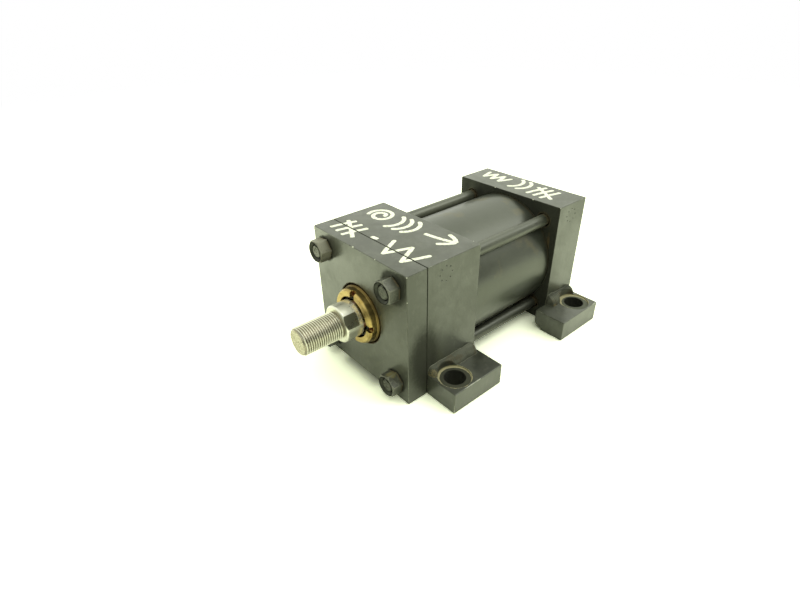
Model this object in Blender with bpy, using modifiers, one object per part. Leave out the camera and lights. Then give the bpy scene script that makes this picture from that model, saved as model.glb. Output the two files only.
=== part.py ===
"""A tie-rod air cylinder with welded side lugs, rod retracted.

Square steel head, cap and retainer plate are clamped over a round tube by
four tie rods. A bronze gland guides the piston rod at the head end.
+Y runs from the rod end to the cap end, +Z is up. The origin lies on the
mounting surface, under the rod, midway between the two front lug holes.
"""
import math

import bmesh
import bpy
from mathutils import Matrix, Vector

INCH = 0.0254
MM = 0.001

# Bore and stroke
BORE = 3.25 * INCH
STROKE = 2.0 * INCH
END_PLAY = 0.5 * MM

# Square blocks and the tube between them
BLOCK_BESIDE_TUBE = 0.125 * INCH
PLATE_DEPTH = 0.625 * INCH
HEAD_DEPTH = 1.75 * INCH
CAP_DEPTH = 1.25 * INCH
BLOCK_EDGE = 0.7 * MM
TUBE_WALL = 0.125 * INCH
TUBE_SEAT_DEPTH = 4.8 * MM
GASKET_THICKNESS = 1.5 * MM

# Tie rods and their nuts
TIE_ROD_BESIDE_TUBE = 0.72 * MM
TIE_ROD_THREAD = 0.375 * INCH
TIE_ROD_THREAD_LENGTH = 1.125 * INCH
TIE_ROD_SHANK = 8.8 * MM
TIE_ROD_CHAMFER = 0.86 * MM
TIE_ROD_HOLE = 10.6 * MM
TIE_ROD_END_SET_BACK = 1.0 * MM
NUT_ACROSS_FLATS = 0.5625 * INCH
NUT_HEIGHT = 0.328 * INCH
NUT_CHAMFER = 1.1 * MM
NUT_FACE_INSET = 0.3 * MM

# Welded side lugs
LUG_REACH = 1.0 * INCH
LUG_HEIGHT = 0.625 * INCH
LUG_LENGTH = 1.75 * INCH
LUG_HOLE = 0.5625 * INCH
LUG_HOLE_FROM_BLOCK = 0.5 * INCH
LUG_HOLE_TO_END = 0.5 * INCH
LUG_EDGE = 0.7 * MM
LUG_ROOT_BEVEL = 6.5 * MM
SPOTFACE = 0.875 * INCH
SPOTFACE_DEPTH = 0.8 * MM
WELD_LEG = 6.2 * MM
WELD_CROWN = 2.5 * MM
WELD_END_INSET = 0.8 * MM
WELD_END_STEPS = 4

# Piston rod
ROD = 1.0 * INCH
ROD_THREAD = 0.75 * INCH
ROD_THREAD_LENGTH = 1.125 * INCH
ROD_THREAD_CHAMFER = 1.4 * MM
SHOULDER_REACH = 0.75 * INCH
SHOULDER_CHAMFER = 0.8 * MM
UNDERCUT_WIDTH = 1.6 * MM
UNDERCUT_DEPTH = 1.3 * MM
ROD_ACROSS_FLATS = 0.9375 * INCH
ROD_FLAT_LENGTH = 9.4 * MM
ROD_FLAT_ANGLE = math.radians(29.0)
SPIGOT = 0.75 * INCH
SPIGOT_O_RING_SECTION = 1.6 * MM
SPIGOT_O_RING_FROM_FRONT = 3.3 * MM
SPIGOT_PAST_NUT = 1.0 * MM

# Gland, its recesses and its seals
GLAND_REACH = 0.25 * INCH
GLAND_NOSE = 1.52 * INCH
GLAND_NOSE_CHAMFER = 1.2 * MM
GLAND_NOSE_CHAMFER_LENGTH = 1.8 * MM
GLAND_BODY = 1.6 * INCH
GLAND_BODY_LEAD = 1.0 * MM
GLAND_PILOT = 1.4 * INCH
GLAND_PILOT_LENGTH = 12.0 * MM
GLAND_IN_HEAD = 16.0 * MM
PLATE_BORE = 42.6 * MM
NOTCH_COUNT = 4
NOTCH_WIDTH = 4.5 * MM
NOTCH_DEPTH = 2.6 * MM
NOTCH_ANGLE = math.radians(-3.5)
WIPER_RECESS = 29.0 * MM
WIPER_RECESS_DEPTH = 6.5 * MM
WIPER_THICKNESS = 4.2 * MM
WIPER_LIP = 1.6 * MM
WIPER_LIP_EDGE = 0.4 * MM
ROD_SEAL_OUTER = 33.0 * MM
ROD_SEAL_WIDTH = 6.5 * MM
ROD_SEAL_FROM_REAR = 8.0 * MM
SEAL_SCOOP = 2.2 * MM
GLAND_O_RING_SECTION = 2.4 * MM
GLAND_O_RING_FROM_REAR = 3.0 * MM

# Piston, its rings and its nut
PISTON_LENGTH = 30.75 * MM
PISTON_RUNNING_GAP = 0.35 * MM
PISTON_CHAMFER = 1.0 * MM
PISTON_SEAL_WIDTH = 5.0 * MM
PISTON_SEAL_DEPTH = 5.0 * MM
PISTON_SEAL_FROM_END = 3.2 * MM
WEAR_RING_WIDTH = 8.0 * MM
WEAR_RING_DEPTH = 2.0 * MM
PISTON_NUT_ACROSS_FLATS = 1.125 * INCH
PISTON_NUT_HEIGHT = 0.42 * INCH
PISTON_NUT_CHAMFER = 1.4 * MM
NUT_POCKET = 36.0 * MM
NUT_POCKET_DEPTH = 12.5 * MM

# Air ways
CHAMBER = 1.5 * INCH
CAP_CHAMBER_DEPTH = 25.4 * MM
PORT = 18.3 * MM
PORT_MOUTH = 21.8 * MM
PORT_MOUTH_DEPTH = 2.0 * MM
HEAD_PORT_FROM_REAR = 17.5 * MM
CAP_PORT_FROM_FRONT = 15.875 * MM

# Clearances
SEAT_GAP = 0.3 * MM
RUNNING_GAP = 0.1 * MM
SEAL_GAP = 0.15 * MM
OVERCUT = 2.0 * MM

# Facets round a full turn
TUBE_SEGMENTS = 56
PISTON_SEGMENTS = 36
GLAND_SEGMENTS = 36
TIE_ROD_SEGMENTS = 16
BEAD_SEGMENTS = 20
LUG_HOLE_SEGMENTS = 28
SPIGOT_O_RING_SEGMENTS = 28
NUT_SEGMENTS = 24

# Sizes across that follow from the tube
TUBE_RADIUS = BORE / 2 + TUBE_WALL
BLOCK_WIDTH = 2 * (TUBE_RADIUS + BLOCK_BESIDE_TUBE)
TIE_ROD_SPACING = math.sqrt(2.0) * (TUBE_RADIUS + TIE_ROD_BESIDE_TUBE + TIE_ROD_SHANK / 2)

# Places along Y, from the rod end to the cap end
HEAD_FRONT = -LUG_HOLE_TO_END
HEAD_REAR = HEAD_FRONT + HEAD_DEPTH
PLATE_REAR = HEAD_FRONT - SEAT_GAP
PLATE_FRONT = HEAD_FRONT - PLATE_DEPTH
CAVITY_LENGTH = STROKE + PISTON_LENGTH + 2 * END_PLAY
CAP_FRONT = HEAD_REAR + CAVITY_LENGTH
CAP_REAR = CAP_FRONT + CAP_DEPTH
TUBE_FRONT = HEAD_REAR - TUBE_SEAT_DEPTH + GASKET_THICKNESS + 2 * SEAL_GAP
TUBE_REAR = CAP_FRONT + TUBE_SEAT_DEPTH - GASKET_THICKNESS - 2 * SEAL_GAP
TIE_ROD_FRONT = PLATE_FRONT - SEAT_GAP - NUT_HEIGHT + TIE_ROD_END_SET_BACK
TIE_ROD_REAR = CAP_REAR + SEAT_GAP + NUT_HEIGHT - TIE_ROD_END_SET_BACK
GLAND_FRONT = PLATE_FRONT - GLAND_REACH
GLAND_REAR = HEAD_FRONT + GLAND_IN_HEAD
SHOULDER = PLATE_FRONT - SHOULDER_REACH
ROD_TIP = SHOULDER - ROD_THREAD_LENGTH
PISTON_REAR = CAP_FRONT - END_PLAY
PISTON_FRONT = PISTON_REAR - PISTON_LENGTH
HEAD_PORT = HEAD_REAR - HEAD_PORT_FROM_REAR
CAP_PORT = CAP_FRONT + CAP_PORT_FROM_FRONT

# Places across
AXIS_HEIGHT = BLOCK_WIDTH / 2
BLOCK_SIDE = BLOCK_WIDTH / 2
LUG_SIDE = BLOCK_SIDE + LUG_REACH
LUG_HOLE_SIDE = BLOCK_SIDE + LUG_HOLE_FROM_BLOCK
REAR_LUG_HOLE = CAP_REAR - LUG_HOLE_TO_END

# name: base colour, roughness, metallic
MATERIALS = {
    "oiled_steel": ((0.115, 0.120, 0.095), 0.45, 0.6),
    "dark_nut_steel": ((0.075, 0.080, 0.065), 0.5, 0.6),
    "painted_tube": ((0.055, 0.060, 0.052), 0.35, 0.3),
    "bronze": ((0.60, 0.42, 0.13), 0.3, 1.0),
    "bright_steel": ((0.62, 0.62, 0.56), 0.25, 1.0),
    "cast_piston": ((0.30, 0.30, 0.29), 0.5, 0.8),
    "black_seal": ((0.012, 0.012, 0.012), 0.6, 0.0),
    "guide_plastic": ((0.16, 0.10, 0.05), 0.5, 0.0),
}


def make_material(name):
    """A Principled material of this name, made once."""
    if name in bpy.data.materials:
        return bpy.data.materials[name]
    color, roughness, metallic = MATERIALS[name]
    material = bpy.data.materials.new(name)
    material.use_nodes = True
    shader = material.node_tree.nodes["Principled BSDF"]
    shader.inputs["Base Color"].default_value = (*color, 1.0)
    shader.inputs["Roughness"].default_value = roughness
    shader.inputs["Metallic"].default_value = metallic
    return material


def make_collection(name):
    """A collection of this name, linked to the scene."""
    collection = bpy.data.collections.new(name)
    bpy.context.scene.collection.children.link(collection)
    return collection


def add_object(name, mesh, collection, material=None):
    """Link a mesh as an object and give it its material."""
    obj = bpy.data.objects.new(name, mesh)
    collection.objects.link(obj)
    if material:
        mesh.materials.clear()
        mesh.materials.append(make_material(material))
    return obj


def as_cutter(obj):
    """Show an object as a wire guide and keep it out of the part."""
    obj.hide_render = True
    obj.display_type = "WIRE"
    return obj


def box_mesh(name, low, high):
    """A box between two corners."""
    low = Vector(low)
    high = Vector(high)
    mesh = bpy.data.meshes.new(name)
    shape = bmesh.new()
    bmesh.ops.create_cube(shape, size=1.0)
    bmesh.ops.scale(shape, vec=high - low, verts=shape.verts)
    bmesh.ops.translate(shape, vec=(low + high) / 2, verts=shape.verts)
    shape.to_mesh(mesh)
    shape.free()
    return mesh


def turned_mesh(name, profile, segments, closed=True):
    """A profile of (radius, y) points turned about the Y axis by a Screw.

    A closed profile is a ring's section. An open one starts and ends at
    radius zero. Either way the outer side runs towards -Y, which keeps the
    faces pointing out.
    """
    outline = bpy.data.meshes.new(name + "_outline")
    points = [(radius, y, 0.0) for radius, y in profile]
    edges = [(number, number + 1) for number in range(len(points) - 1)]
    if closed:
        edges.append((len(points) - 1, 0))
    outline.from_pydata(points, edges, [])
    guide = add_object(name + "_outline", outline, cutters)
    turn = guide.modifiers.new("turn", "SCREW")
    turn.axis = "Y"
    turn.angle = math.tau
    turn.steps = segments
    turn.render_steps = segments
    turn.use_merge_vertices = True
    turn.merge_threshold = 0.01 * MM
    evaluated = guide.evaluated_get(bpy.context.evaluated_depsgraph_get())
    mesh = bpy.data.meshes.new_from_object(evaluated)
    mesh.name = name
    bpy.data.objects.remove(guide)
    bpy.data.meshes.remove(outline)
    mesh.shade_smooth()
    mesh.set_sharp_from_angle(angle=math.radians(30.0))
    return mesh


def turned(name, profile, segments, collection, material=None, center=(0.0, 0.0, 0.0), closed=True):
    """A turned piece whose axis passes through center, along Y."""
    mesh = turned_mesh(name, profile, segments, closed)
    obj = add_object(name, mesh, collection, material)
    obj.location = center
    return obj


def ring(inner, outer, front, rear):
    """The section of a plain ring between two radii."""
    return [(outer, rear), (outer, front), (inner, front), (inner, rear)]


def cut(target, cutter, operation="DIFFERENCE"):
    """Add an exact Boolean to target."""
    step = target.modifiers.new(operation.lower(), "BOOLEAN")
    step.operation = operation
    step.solver = "EXACT"
    step.object = cutter


def round_edges(target, width):
    """A small chamfer along every edge of a block."""
    step = target.modifiers.new("edges", "BEVEL")
    step.width = width
    step.segments = 1
    step.limit_method = "ANGLE"


def axis_center(y=0.0):
    """The point on the rod's axis at this place along it."""
    return (0.0, y, AXIS_HEIGHT)


def corner_places():
    """The four tie rods' places across, right-hand ones first."""
    half = TIE_ROD_SPACING / 2
    return {
        "upper_right": (half, AXIS_HEIGHT + half),
        "upper_left": (-half, AXIS_HEIGHT + half),
        "lower_right": (half, AXIS_HEIGHT - half),
        "lower_left": (-half, AXIS_HEIGHT - half),
    }


def tie_rod_hole_cutter():
    """Four long drills that line up the holes of plate, head and cap."""
    shape = bmesh.new()
    length = CAP_REAR - PLATE_FRONT + 2 * OVERCUT
    middle = (CAP_REAR + PLATE_FRONT) / 2
    along_y = Matrix.Rotation(math.radians(90.0), 4, "X")
    flat_to_tube = Matrix.Rotation(math.pi / TIE_ROD_SEGMENTS, 4, "Z")
    for x, z in corner_places().values():
        place = Matrix.Translation((x, middle, z)) @ along_y @ flat_to_tube
        bmesh.ops.create_cone(
            shape,
            cap_ends=True,
            segments=TIE_ROD_SEGMENTS,
            radius1=TIE_ROD_HOLE / 2,
            radius2=TIE_ROD_HOLE / 2,
            depth=length,
            matrix=place,
        )
    mesh = bpy.data.meshes.new("tie_rod_drills")
    shape.to_mesh(mesh)
    shape.free()
    return as_cutter(add_object("tie_rod_drills", mesh, cutters))


def block(name, front, rear):
    """A square steel block, its edges broken and its tie rod holes drilled."""
    mesh = box_mesh(name, (-BLOCK_SIDE, front, 0.0), (BLOCK_SIDE, rear, BLOCK_WIDTH))
    obj = add_object(name, mesh, parts, "oiled_steel")
    round_edges(obj, BLOCK_EDGE)
    cut(obj, tie_rod_drills)
    return obj


def tube_seat_cutter(name, face, direction):
    """The ring groove in a block's face that takes the tube's end."""
    bottom = face + direction * TUBE_SEAT_DEPTH
    mouth = face - direction * OVERCUT
    section = ring(
        BORE / 2 - SEAT_GAP,
        TUBE_RADIUS + SEAT_GAP,
        min(bottom, mouth),
        max(bottom, mouth),
    )
    return as_cutter(turned(name, section, TUBE_SEGMENTS, cutters, center=axis_center()))


def port_cutter(name, y):
    """A port drilled from the left side, past the middle chamber's wall."""
    side = BLOCK_SIDE + OVERCUT
    drill_stop = CHAMBER / 4
    flare = (PORT_MOUTH - PORT) / 2 * OVERCUT / PORT_MOUTH_DEPTH
    profile = [
        (0.0, side),
        (PORT_MOUTH / 2 + flare, side),
        (PORT / 2, BLOCK_SIDE - PORT_MOUTH_DEPTH),
        (PORT / 2, drill_stop),
        (0.0, drill_stop),
    ]
    obj = turned(name, profile, GLAND_SEGMENTS, cutters, center=axis_center(y), closed=False)
    obj.rotation_euler = (0.0, 0.0, math.radians(90.0))
    return as_cutter(obj)


def make_retainer_plate():
    """The square plate that the front nuts clamp onto the head."""
    obj = block("retainer_plate", PLATE_FRONT, PLATE_REAR)
    section = [
        (0.0, PLATE_REAR + OVERCUT),
        (PLATE_BORE / 2, PLATE_REAR + OVERCUT),
        (PLATE_BORE / 2, PLATE_FRONT - OVERCUT),
        (0.0, PLATE_FRONT - OVERCUT),
    ]
    bore = turned("plate_bore", section, GLAND_SEGMENTS, cutters, center=axis_center(), closed=False)
    cut(obj, as_cutter(bore))


def make_head():
    """The head block, bored for the gland and drilled for its air port."""
    obj = block("head", HEAD_FRONT, HEAD_REAR)
    gland_radius = GLAND_BODY / 2 + SEAT_GAP
    pilot_radius = GLAND_PILOT / 2 + SEAT_GAP
    pilot_start = GLAND_REAR - GLAND_PILOT_LENGTH
    section = [
        (0.0, HEAD_REAR + OVERCUT),
        (CHAMBER / 2, HEAD_REAR + OVERCUT),
        (CHAMBER / 2, GLAND_REAR + SEAT_GAP),
        (pilot_radius, GLAND_REAR + SEAT_GAP),
        (pilot_radius, pilot_start + SEAT_GAP),
        (gland_radius, pilot_start + SEAT_GAP),
        (gland_radius, HEAD_FRONT - OVERCUT),
        (0.0, HEAD_FRONT - OVERCUT),
    ]
    bore = turned("head_bore", section, GLAND_SEGMENTS, cutters, center=axis_center(), closed=False)
    cut(obj, as_cutter(bore))
    cut(obj, tube_seat_cutter("head_tube_seat", HEAD_REAR, -1))
    cut(obj, port_cutter("head_port", HEAD_PORT))


def make_cap():
    """The cap block, with a blind chamber that its port feeds."""
    obj = block("cap", CAP_FRONT, CAP_REAR)
    section = [
        (0.0, CAP_FRONT + CAP_CHAMBER_DEPTH),
        (CHAMBER / 2, CAP_FRONT + CAP_CHAMBER_DEPTH),
        (CHAMBER / 2, CAP_FRONT - OVERCUT),
        (0.0, CAP_FRONT - OVERCUT),
    ]
    bore = turned("cap_bore", section, GLAND_SEGMENTS, cutters, center=axis_center(), closed=False)
    cut(obj, as_cutter(bore))
    cut(obj, tube_seat_cutter("cap_tube_seat", CAP_FRONT, 1))
    cut(obj, port_cutter("cap_port", CAP_PORT))


def make_tube():
    """The cylinder tube, its ends seated in the blocks' grooves."""
    section = ring(BORE / 2, TUBE_RADIUS, TUBE_FRONT, TUBE_REAR)
    turned("cylinder_tube", section, TUBE_SEGMENTS, parts, "painted_tube", axis_center())


def make_gaskets():
    """A flat gasket at the bottom of each tube seat."""
    bottoms = {
        "tube_gasket_front": HEAD_REAR - TUBE_SEAT_DEPTH + SEAL_GAP,
        "tube_gasket_rear": CAP_FRONT + TUBE_SEAT_DEPTH - SEAL_GAP - GASKET_THICKNESS,
    }
    for name, front in bottoms.items():
        section = ring(BORE / 2, TUBE_RADIUS, front, front + GASKET_THICKNESS)
        turned(name, section, PISTON_SEGMENTS, parts, "black_seal", axis_center())


def tie_rod_profile():
    """A tie rod: rolled threads at both ends, a thinner shank between."""
    thread = TIE_ROD_THREAD / 2
    shank = TIE_ROD_SHANK / 2
    step = thread - shank
    return [
        (0.0, TIE_ROD_REAR),
        (thread - TIE_ROD_CHAMFER, TIE_ROD_REAR),
        (thread, TIE_ROD_REAR - TIE_ROD_CHAMFER),
        (thread, TIE_ROD_REAR - TIE_ROD_THREAD_LENGTH),
        (shank, TIE_ROD_REAR - TIE_ROD_THREAD_LENGTH - step),
        (shank, TIE_ROD_FRONT + TIE_ROD_THREAD_LENGTH + step),
        (thread, TIE_ROD_FRONT + TIE_ROD_THREAD_LENGTH),
        (thread, TIE_ROD_FRONT + TIE_ROD_CHAMFER),
        (thread - TIE_ROD_CHAMFER, TIE_ROD_FRONT),
        (0.0, TIE_ROD_FRONT),
    ]


def make_tie_rods():
    """Four tie rods that share one mesh."""
    mesh = turned_mesh("tie_rod", tie_rod_profile(), TIE_ROD_SEGMENTS, closed=False)
    for corner, (x, z) in corner_places().items():
        rod = add_object(corner + "_tie_rod", mesh, parts, "dark_nut_steel")
        rod.location = (x, 0.0, z)


def nut_object(name, across_flats, height, thread, chamfer, material):
    """A hex nut from y = 0 to y = -height, its outer corners turned off."""
    corner = across_flats / 2 / math.cos(math.radians(30.0))
    hexagon = bpy.data.meshes.new(name)
    shape = bmesh.new()
    upright = Matrix.Rotation(math.radians(90.0), 4, "X")
    bmesh.ops.create_cone(
        shape,
        cap_ends=True,
        segments=6,
        radius1=corner,
        radius2=corner,
        depth=height,
        matrix=Matrix.Translation((0.0, -height / 2, 0.0)) @ upright,
    )
    shape.to_mesh(hexagon)
    shape.free()
    nut = add_object(name, hexagon, parts, material)
    face = across_flats / 2 - NUT_FACE_INSET
    clear = corner + OVERCUT
    envelope = [
        (0.0, OVERCUT),
        (clear, OVERCUT),
        (clear, (clear - face) * math.tan(math.radians(30.0)) - height),
        (face, -height),
        (0.0, -height),
    ]
    turned_off = turned(name + "_turned_off", envelope, NUT_SEGMENTS, cutters, closed=False)
    cut(nut, as_cutter(turned_off), "INTERSECT")
    hole = thread / 2 + SEAT_GAP
    bore = [
        (0.0, OVERCUT),
        (hole, OVERCUT),
        (hole, -height + chamfer),
        (hole + chamfer + OVERCUT, -height - OVERCUT),
        (0.0, -height - OVERCUT),
    ]
    cut(nut, as_cutter(turned(name + "_bore", bore, TIE_ROD_SEGMENTS, cutters, closed=False)))
    return nut


def make_tie_rod_nuts():
    """A nut on each tie rod end, stopped at whatever angle it tightened to."""
    turns = {"upper_right": 3.0, "upper_left": 22.0, "lower_right": 12.0, "lower_left": 35.0}
    for corner, (x, z) in corner_places().items():
        for end in ("front", "rear"):
            name = corner + "_" + end + "_nut"
            nut = nut_object(
                name, NUT_ACROSS_FLATS, NUT_HEIGHT, TIE_ROD_THREAD, NUT_CHAMFER, "dark_nut_steel"
            )
            turn = math.radians(turns[corner])
            if end == "front":
                placement = Matrix.Rotation(turn, 4, "Y")
                spot = (x, PLATE_FRONT - SEAT_GAP, z)
            else:
                placement = Matrix.Rotation(turn, 4, "Y") @ Matrix.Rotation(math.pi, 4, "Z")
                spot = (x, CAP_REAR + SEAT_GAP, z)
            place_all(nut, Matrix.Translation(spot) @ placement)


def place_all(target, matrix):
    """Move an object and the cutters in its modifiers together."""
    target.matrix_world = matrix
    for step in target.modifiers:
        if step.type == "BOOLEAN":
            step.object.matrix_world = matrix


def weld_bead_cutter(name, side, weld_front, weld_rear):
    """A bead with round ends, its middle a little inside the corner."""
    radius = math.hypot(WELD_LEG + WELD_CROWN, WELD_CROWN)
    start = weld_front + WELD_END_INSET
    stop = weld_rear - WELD_END_INSET
    turns = [math.radians(90.0) * step / WELD_END_STEPS for step in range(WELD_END_STEPS + 1)]
    rear_end = [(radius * math.sin(turn), stop - WELD_LEG * (1 - math.cos(turn))) for turn in turns]
    front_end = [(radius * math.sin(turn), start + WELD_LEG * (1 - math.cos(turn))) for turn in turns]
    profile = rear_end + front_end[::-1]
    center = (side * (BLOCK_SIDE + SEAT_GAP - WELD_CROWN), 0.0, LUG_HEIGHT - WELD_CROWN)
    return as_cutter(turned(name, profile, BEAD_SEGMENTS, cutters, center=center, closed=False))


def lug_drill_cutter(name, side, hole_y):
    """The bolt hole and the spotface, which also cuts the weld away."""
    top = LUG_HEIGHT + LUG_LENGTH
    profile = [
        (0.0, top),
        (SPOTFACE / 2, top),
        (SPOTFACE / 2, LUG_HEIGHT - SPOTFACE_DEPTH),
        (LUG_HOLE / 2, LUG_HEIGHT - SPOTFACE_DEPTH),
        (LUG_HOLE / 2, -OVERCUT),
        (0.0, -OVERCUT),
    ]
    drill = turned(name, profile, LUG_HOLE_SEGMENTS, cutters, closed=False)
    drill.rotation_euler = (math.radians(90.0), 0.0, 0.0)
    drill.location = (side * LUG_HOLE_SIDE, hole_y, 0.0)
    return as_cutter(drill)


def lug_root_cutter(name, side, front, rear):
    """A square bar turned 45 degrees, for the open root bevel of the weld."""
    shape = bmesh.new()
    bmesh.ops.create_cube(shape, size=1.0)
    reach = LUG_ROOT_BEVEL * math.sqrt(2.0)
    bmesh.ops.scale(shape, vec=(reach, rear - front + OVERCUT, reach), verts=shape.verts)
    turn = Matrix.Rotation(math.radians(45.0), 3, "Y")
    bmesh.ops.rotate(shape, matrix=turn, cent=(0.0, 0.0, 0.0), verts=shape.verts)
    middle = (side * (BLOCK_SIDE + SEAT_GAP), (front + rear - OVERCUT) / 2, 0.0)
    bmesh.ops.translate(shape, vec=middle, verts=shape.verts)
    mesh = bpy.data.meshes.new(name)
    shape.to_mesh(mesh)
    shape.free()
    return as_cutter(add_object(name, mesh, cutters))


def make_lug(name, side, front, hole_y, block_front, block_rear):
    """One side lug, on side +1 (right) or -1 (left), welded where it meets its block."""
    inner = BLOCK_SIDE + SEAT_GAP
    rear = front + LUG_LENGTH
    weld_front = max(front, block_front)
    weld_rear = min(rear, block_rear)
    low_x, high_x = sorted((side * inner, side * LUG_SIDE))
    bar = box_mesh(name, (low_x, front, 0.0), (high_x, rear, LUG_HEIGHT))
    lug = add_object(name, bar, parts, "oiled_steel")
    round_edges(lug, LUG_EDGE)
    cut(lug, weld_bead_cutter(name + "_bead", side, weld_front, weld_rear), "UNION")

    # The half of the bead that would lie in the block is taken off again
    low_x, high_x = sorted((side * inner, side * (inner - LUG_LENGTH)))
    low = (low_x, front - OVERCUT, -OVERCUT)
    high = (high_x, rear + OVERCUT, LUG_HEIGHT + LUG_LENGTH)
    cut(lug, as_cutter(add_object(name + "_trim", box_mesh(name + "_trim", low, high), cutters)))
    cut(lug, lug_drill_cutter(name + "_drill", side, hole_y))
    if weld_front > front:
        cut(lug, lug_root_cutter(name + "_root", side, front, weld_front))


def make_lugs():
    """Front lugs beside the head, rear lugs flush with the cap's back."""
    rear_front = CAP_REAR - LUG_LENGTH
    for side, word in ((1, "right"), (-1, "left")):
        make_lug("front_" + word + "_lug", side, HEAD_FRONT, 0.0, HEAD_FRONT, HEAD_REAR)
        make_lug("rear_" + word + "_lug", side, rear_front, REAR_LUG_HOLE, CAP_FRONT, CAP_REAR)


def make_gland():
    """The bronze gland: stepped nose, wiper recess, seal grooves, notches."""
    nose = GLAND_NOSE / 2
    body = GLAND_BODY / 2
    pilot = GLAND_PILOT / 2
    pilot_start = GLAND_REAR - GLAND_PILOT_LENGTH
    running = ROD / 2 + RUNNING_GAP
    groove_rear = GLAND_REAR - GLAND_O_RING_FROM_REAR
    groove_front = groove_rear - GLAND_O_RING_SECTION - 2 * SEAL_GAP
    groove_bottom = pilot - GLAND_O_RING_SECTION
    seal_rear = GLAND_REAR - ROD_SEAL_FROM_REAR
    seal_front = seal_rear - ROD_SEAL_WIDTH - 2 * SEAL_GAP
    seal_radius = ROD_SEAL_OUTER / 2 + SEAL_GAP
    recess = WIPER_RECESS / 2
    section = [
        (running, GLAND_REAR),
        (pilot, GLAND_REAR),
        (pilot, groove_rear),
        (groove_bottom, groove_rear),
        (groove_bottom, groove_front),
        (pilot, groove_front),
        (pilot, pilot_start),
        (body, pilot_start),
        (body, PLATE_FRONT - GLAND_BODY_LEAD + body - nose),
        (nose, PLATE_FRONT - GLAND_BODY_LEAD),
        (nose, GLAND_FRONT + GLAND_NOSE_CHAMFER_LENGTH),
        (nose - GLAND_NOSE_CHAMFER, GLAND_FRONT),
        (recess, GLAND_FRONT),
        (recess, GLAND_FRONT + WIPER_RECESS_DEPTH),
        (running, GLAND_FRONT + WIPER_RECESS_DEPTH),
        (running, seal_front),
        (seal_radius, seal_front),
        (seal_radius, seal_rear),
        (running, seal_rear),
    ]
    gland = turned("rod_gland", section, GLAND_SEGMENTS, parts, "bronze", axis_center())

    shape = bmesh.new()
    inner = recess - OVERCUT
    outer = nose + OVERCUT
    for number in range(NOTCH_COUNT):
        turn = -(NOTCH_ANGLE + math.tau * number / NOTCH_COUNT)
        notch = bmesh.ops.create_cube(shape, size=1.0)["verts"]
        bmesh.ops.scale(shape, vec=(outer - inner, NOTCH_DEPTH + OVERCUT, NOTCH_WIDTH), verts=notch)
        shift = ((outer + inner) / 2, GLAND_FRONT + (NOTCH_DEPTH - OVERCUT) / 2, 0.0)
        bmesh.ops.translate(shape, vec=shift, verts=notch)
        bmesh.ops.rotate(shape, matrix=Matrix.Rotation(turn, 3, "Y"), cent=(0.0, 0.0, 0.0), verts=notch)
    mesh = bpy.data.meshes.new("gland_notches")
    shape.to_mesh(mesh)
    shape.free()
    notches = add_object("gland_notches", mesh, cutters)
    notches.location = axis_center()
    cut(gland, as_cutter(notches))


def make_gland_seals():
    """The wiper, the rod seal and the gland's O-ring, in their grooves."""
    inner = ROD / 2 + SEAL_GAP
    wiper_rear = GLAND_FRONT + WIPER_RECESS_DEPTH - SEAL_GAP
    wiper_front = wiper_rear - WIPER_THICKNESS
    wiper = [
        (WIPER_RECESS / 2 - SEAL_GAP, wiper_rear),
        (WIPER_RECESS / 2 - SEAL_GAP, wiper_front + WIPER_LIP),
        (inner + WIPER_LIP_EDGE, wiper_front),
        (inner, wiper_front),
        (inner, wiper_rear),
    ]
    turned("rod_wiper", wiper, GLAND_SEGMENTS, parts, "black_seal", axis_center())

    rear = GLAND_REAR - ROD_SEAL_FROM_REAR - SEAL_GAP
    front = rear - ROD_SEAL_WIDTH
    outer = ROD_SEAL_OUTER / 2
    middle = (inner + outer) / 2
    u_cup = [(outer, rear), (outer, front), (inner, front), (inner, rear), (middle, rear - SEAL_SCOOP)]
    turned("rod_seal", u_cup, GLAND_SEGMENTS, parts, "black_seal", axis_center())

    groove_rear = GLAND_REAR - GLAND_O_RING_FROM_REAR
    center_y = groove_rear - SEAL_GAP - GLAND_O_RING_SECTION / 2
    center_r = GLAND_PILOT / 2 - GLAND_O_RING_SECTION / 2 + SEAL_GAP
    section = round_section(center_r, center_y, GLAND_O_RING_SECTION / 2)
    turned("gland_o_ring", section, GLAND_SEGMENTS, parts, "black_seal", axis_center())


def round_section(radius, y, half, sides=5):
    """An O-ring's section as a few points round a circle."""
    points = []
    for number in range(sides):
        angle = math.tau * number / sides
        points.append((radius + half * math.cos(angle), y - half * math.sin(angle)))
    return points


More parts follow.
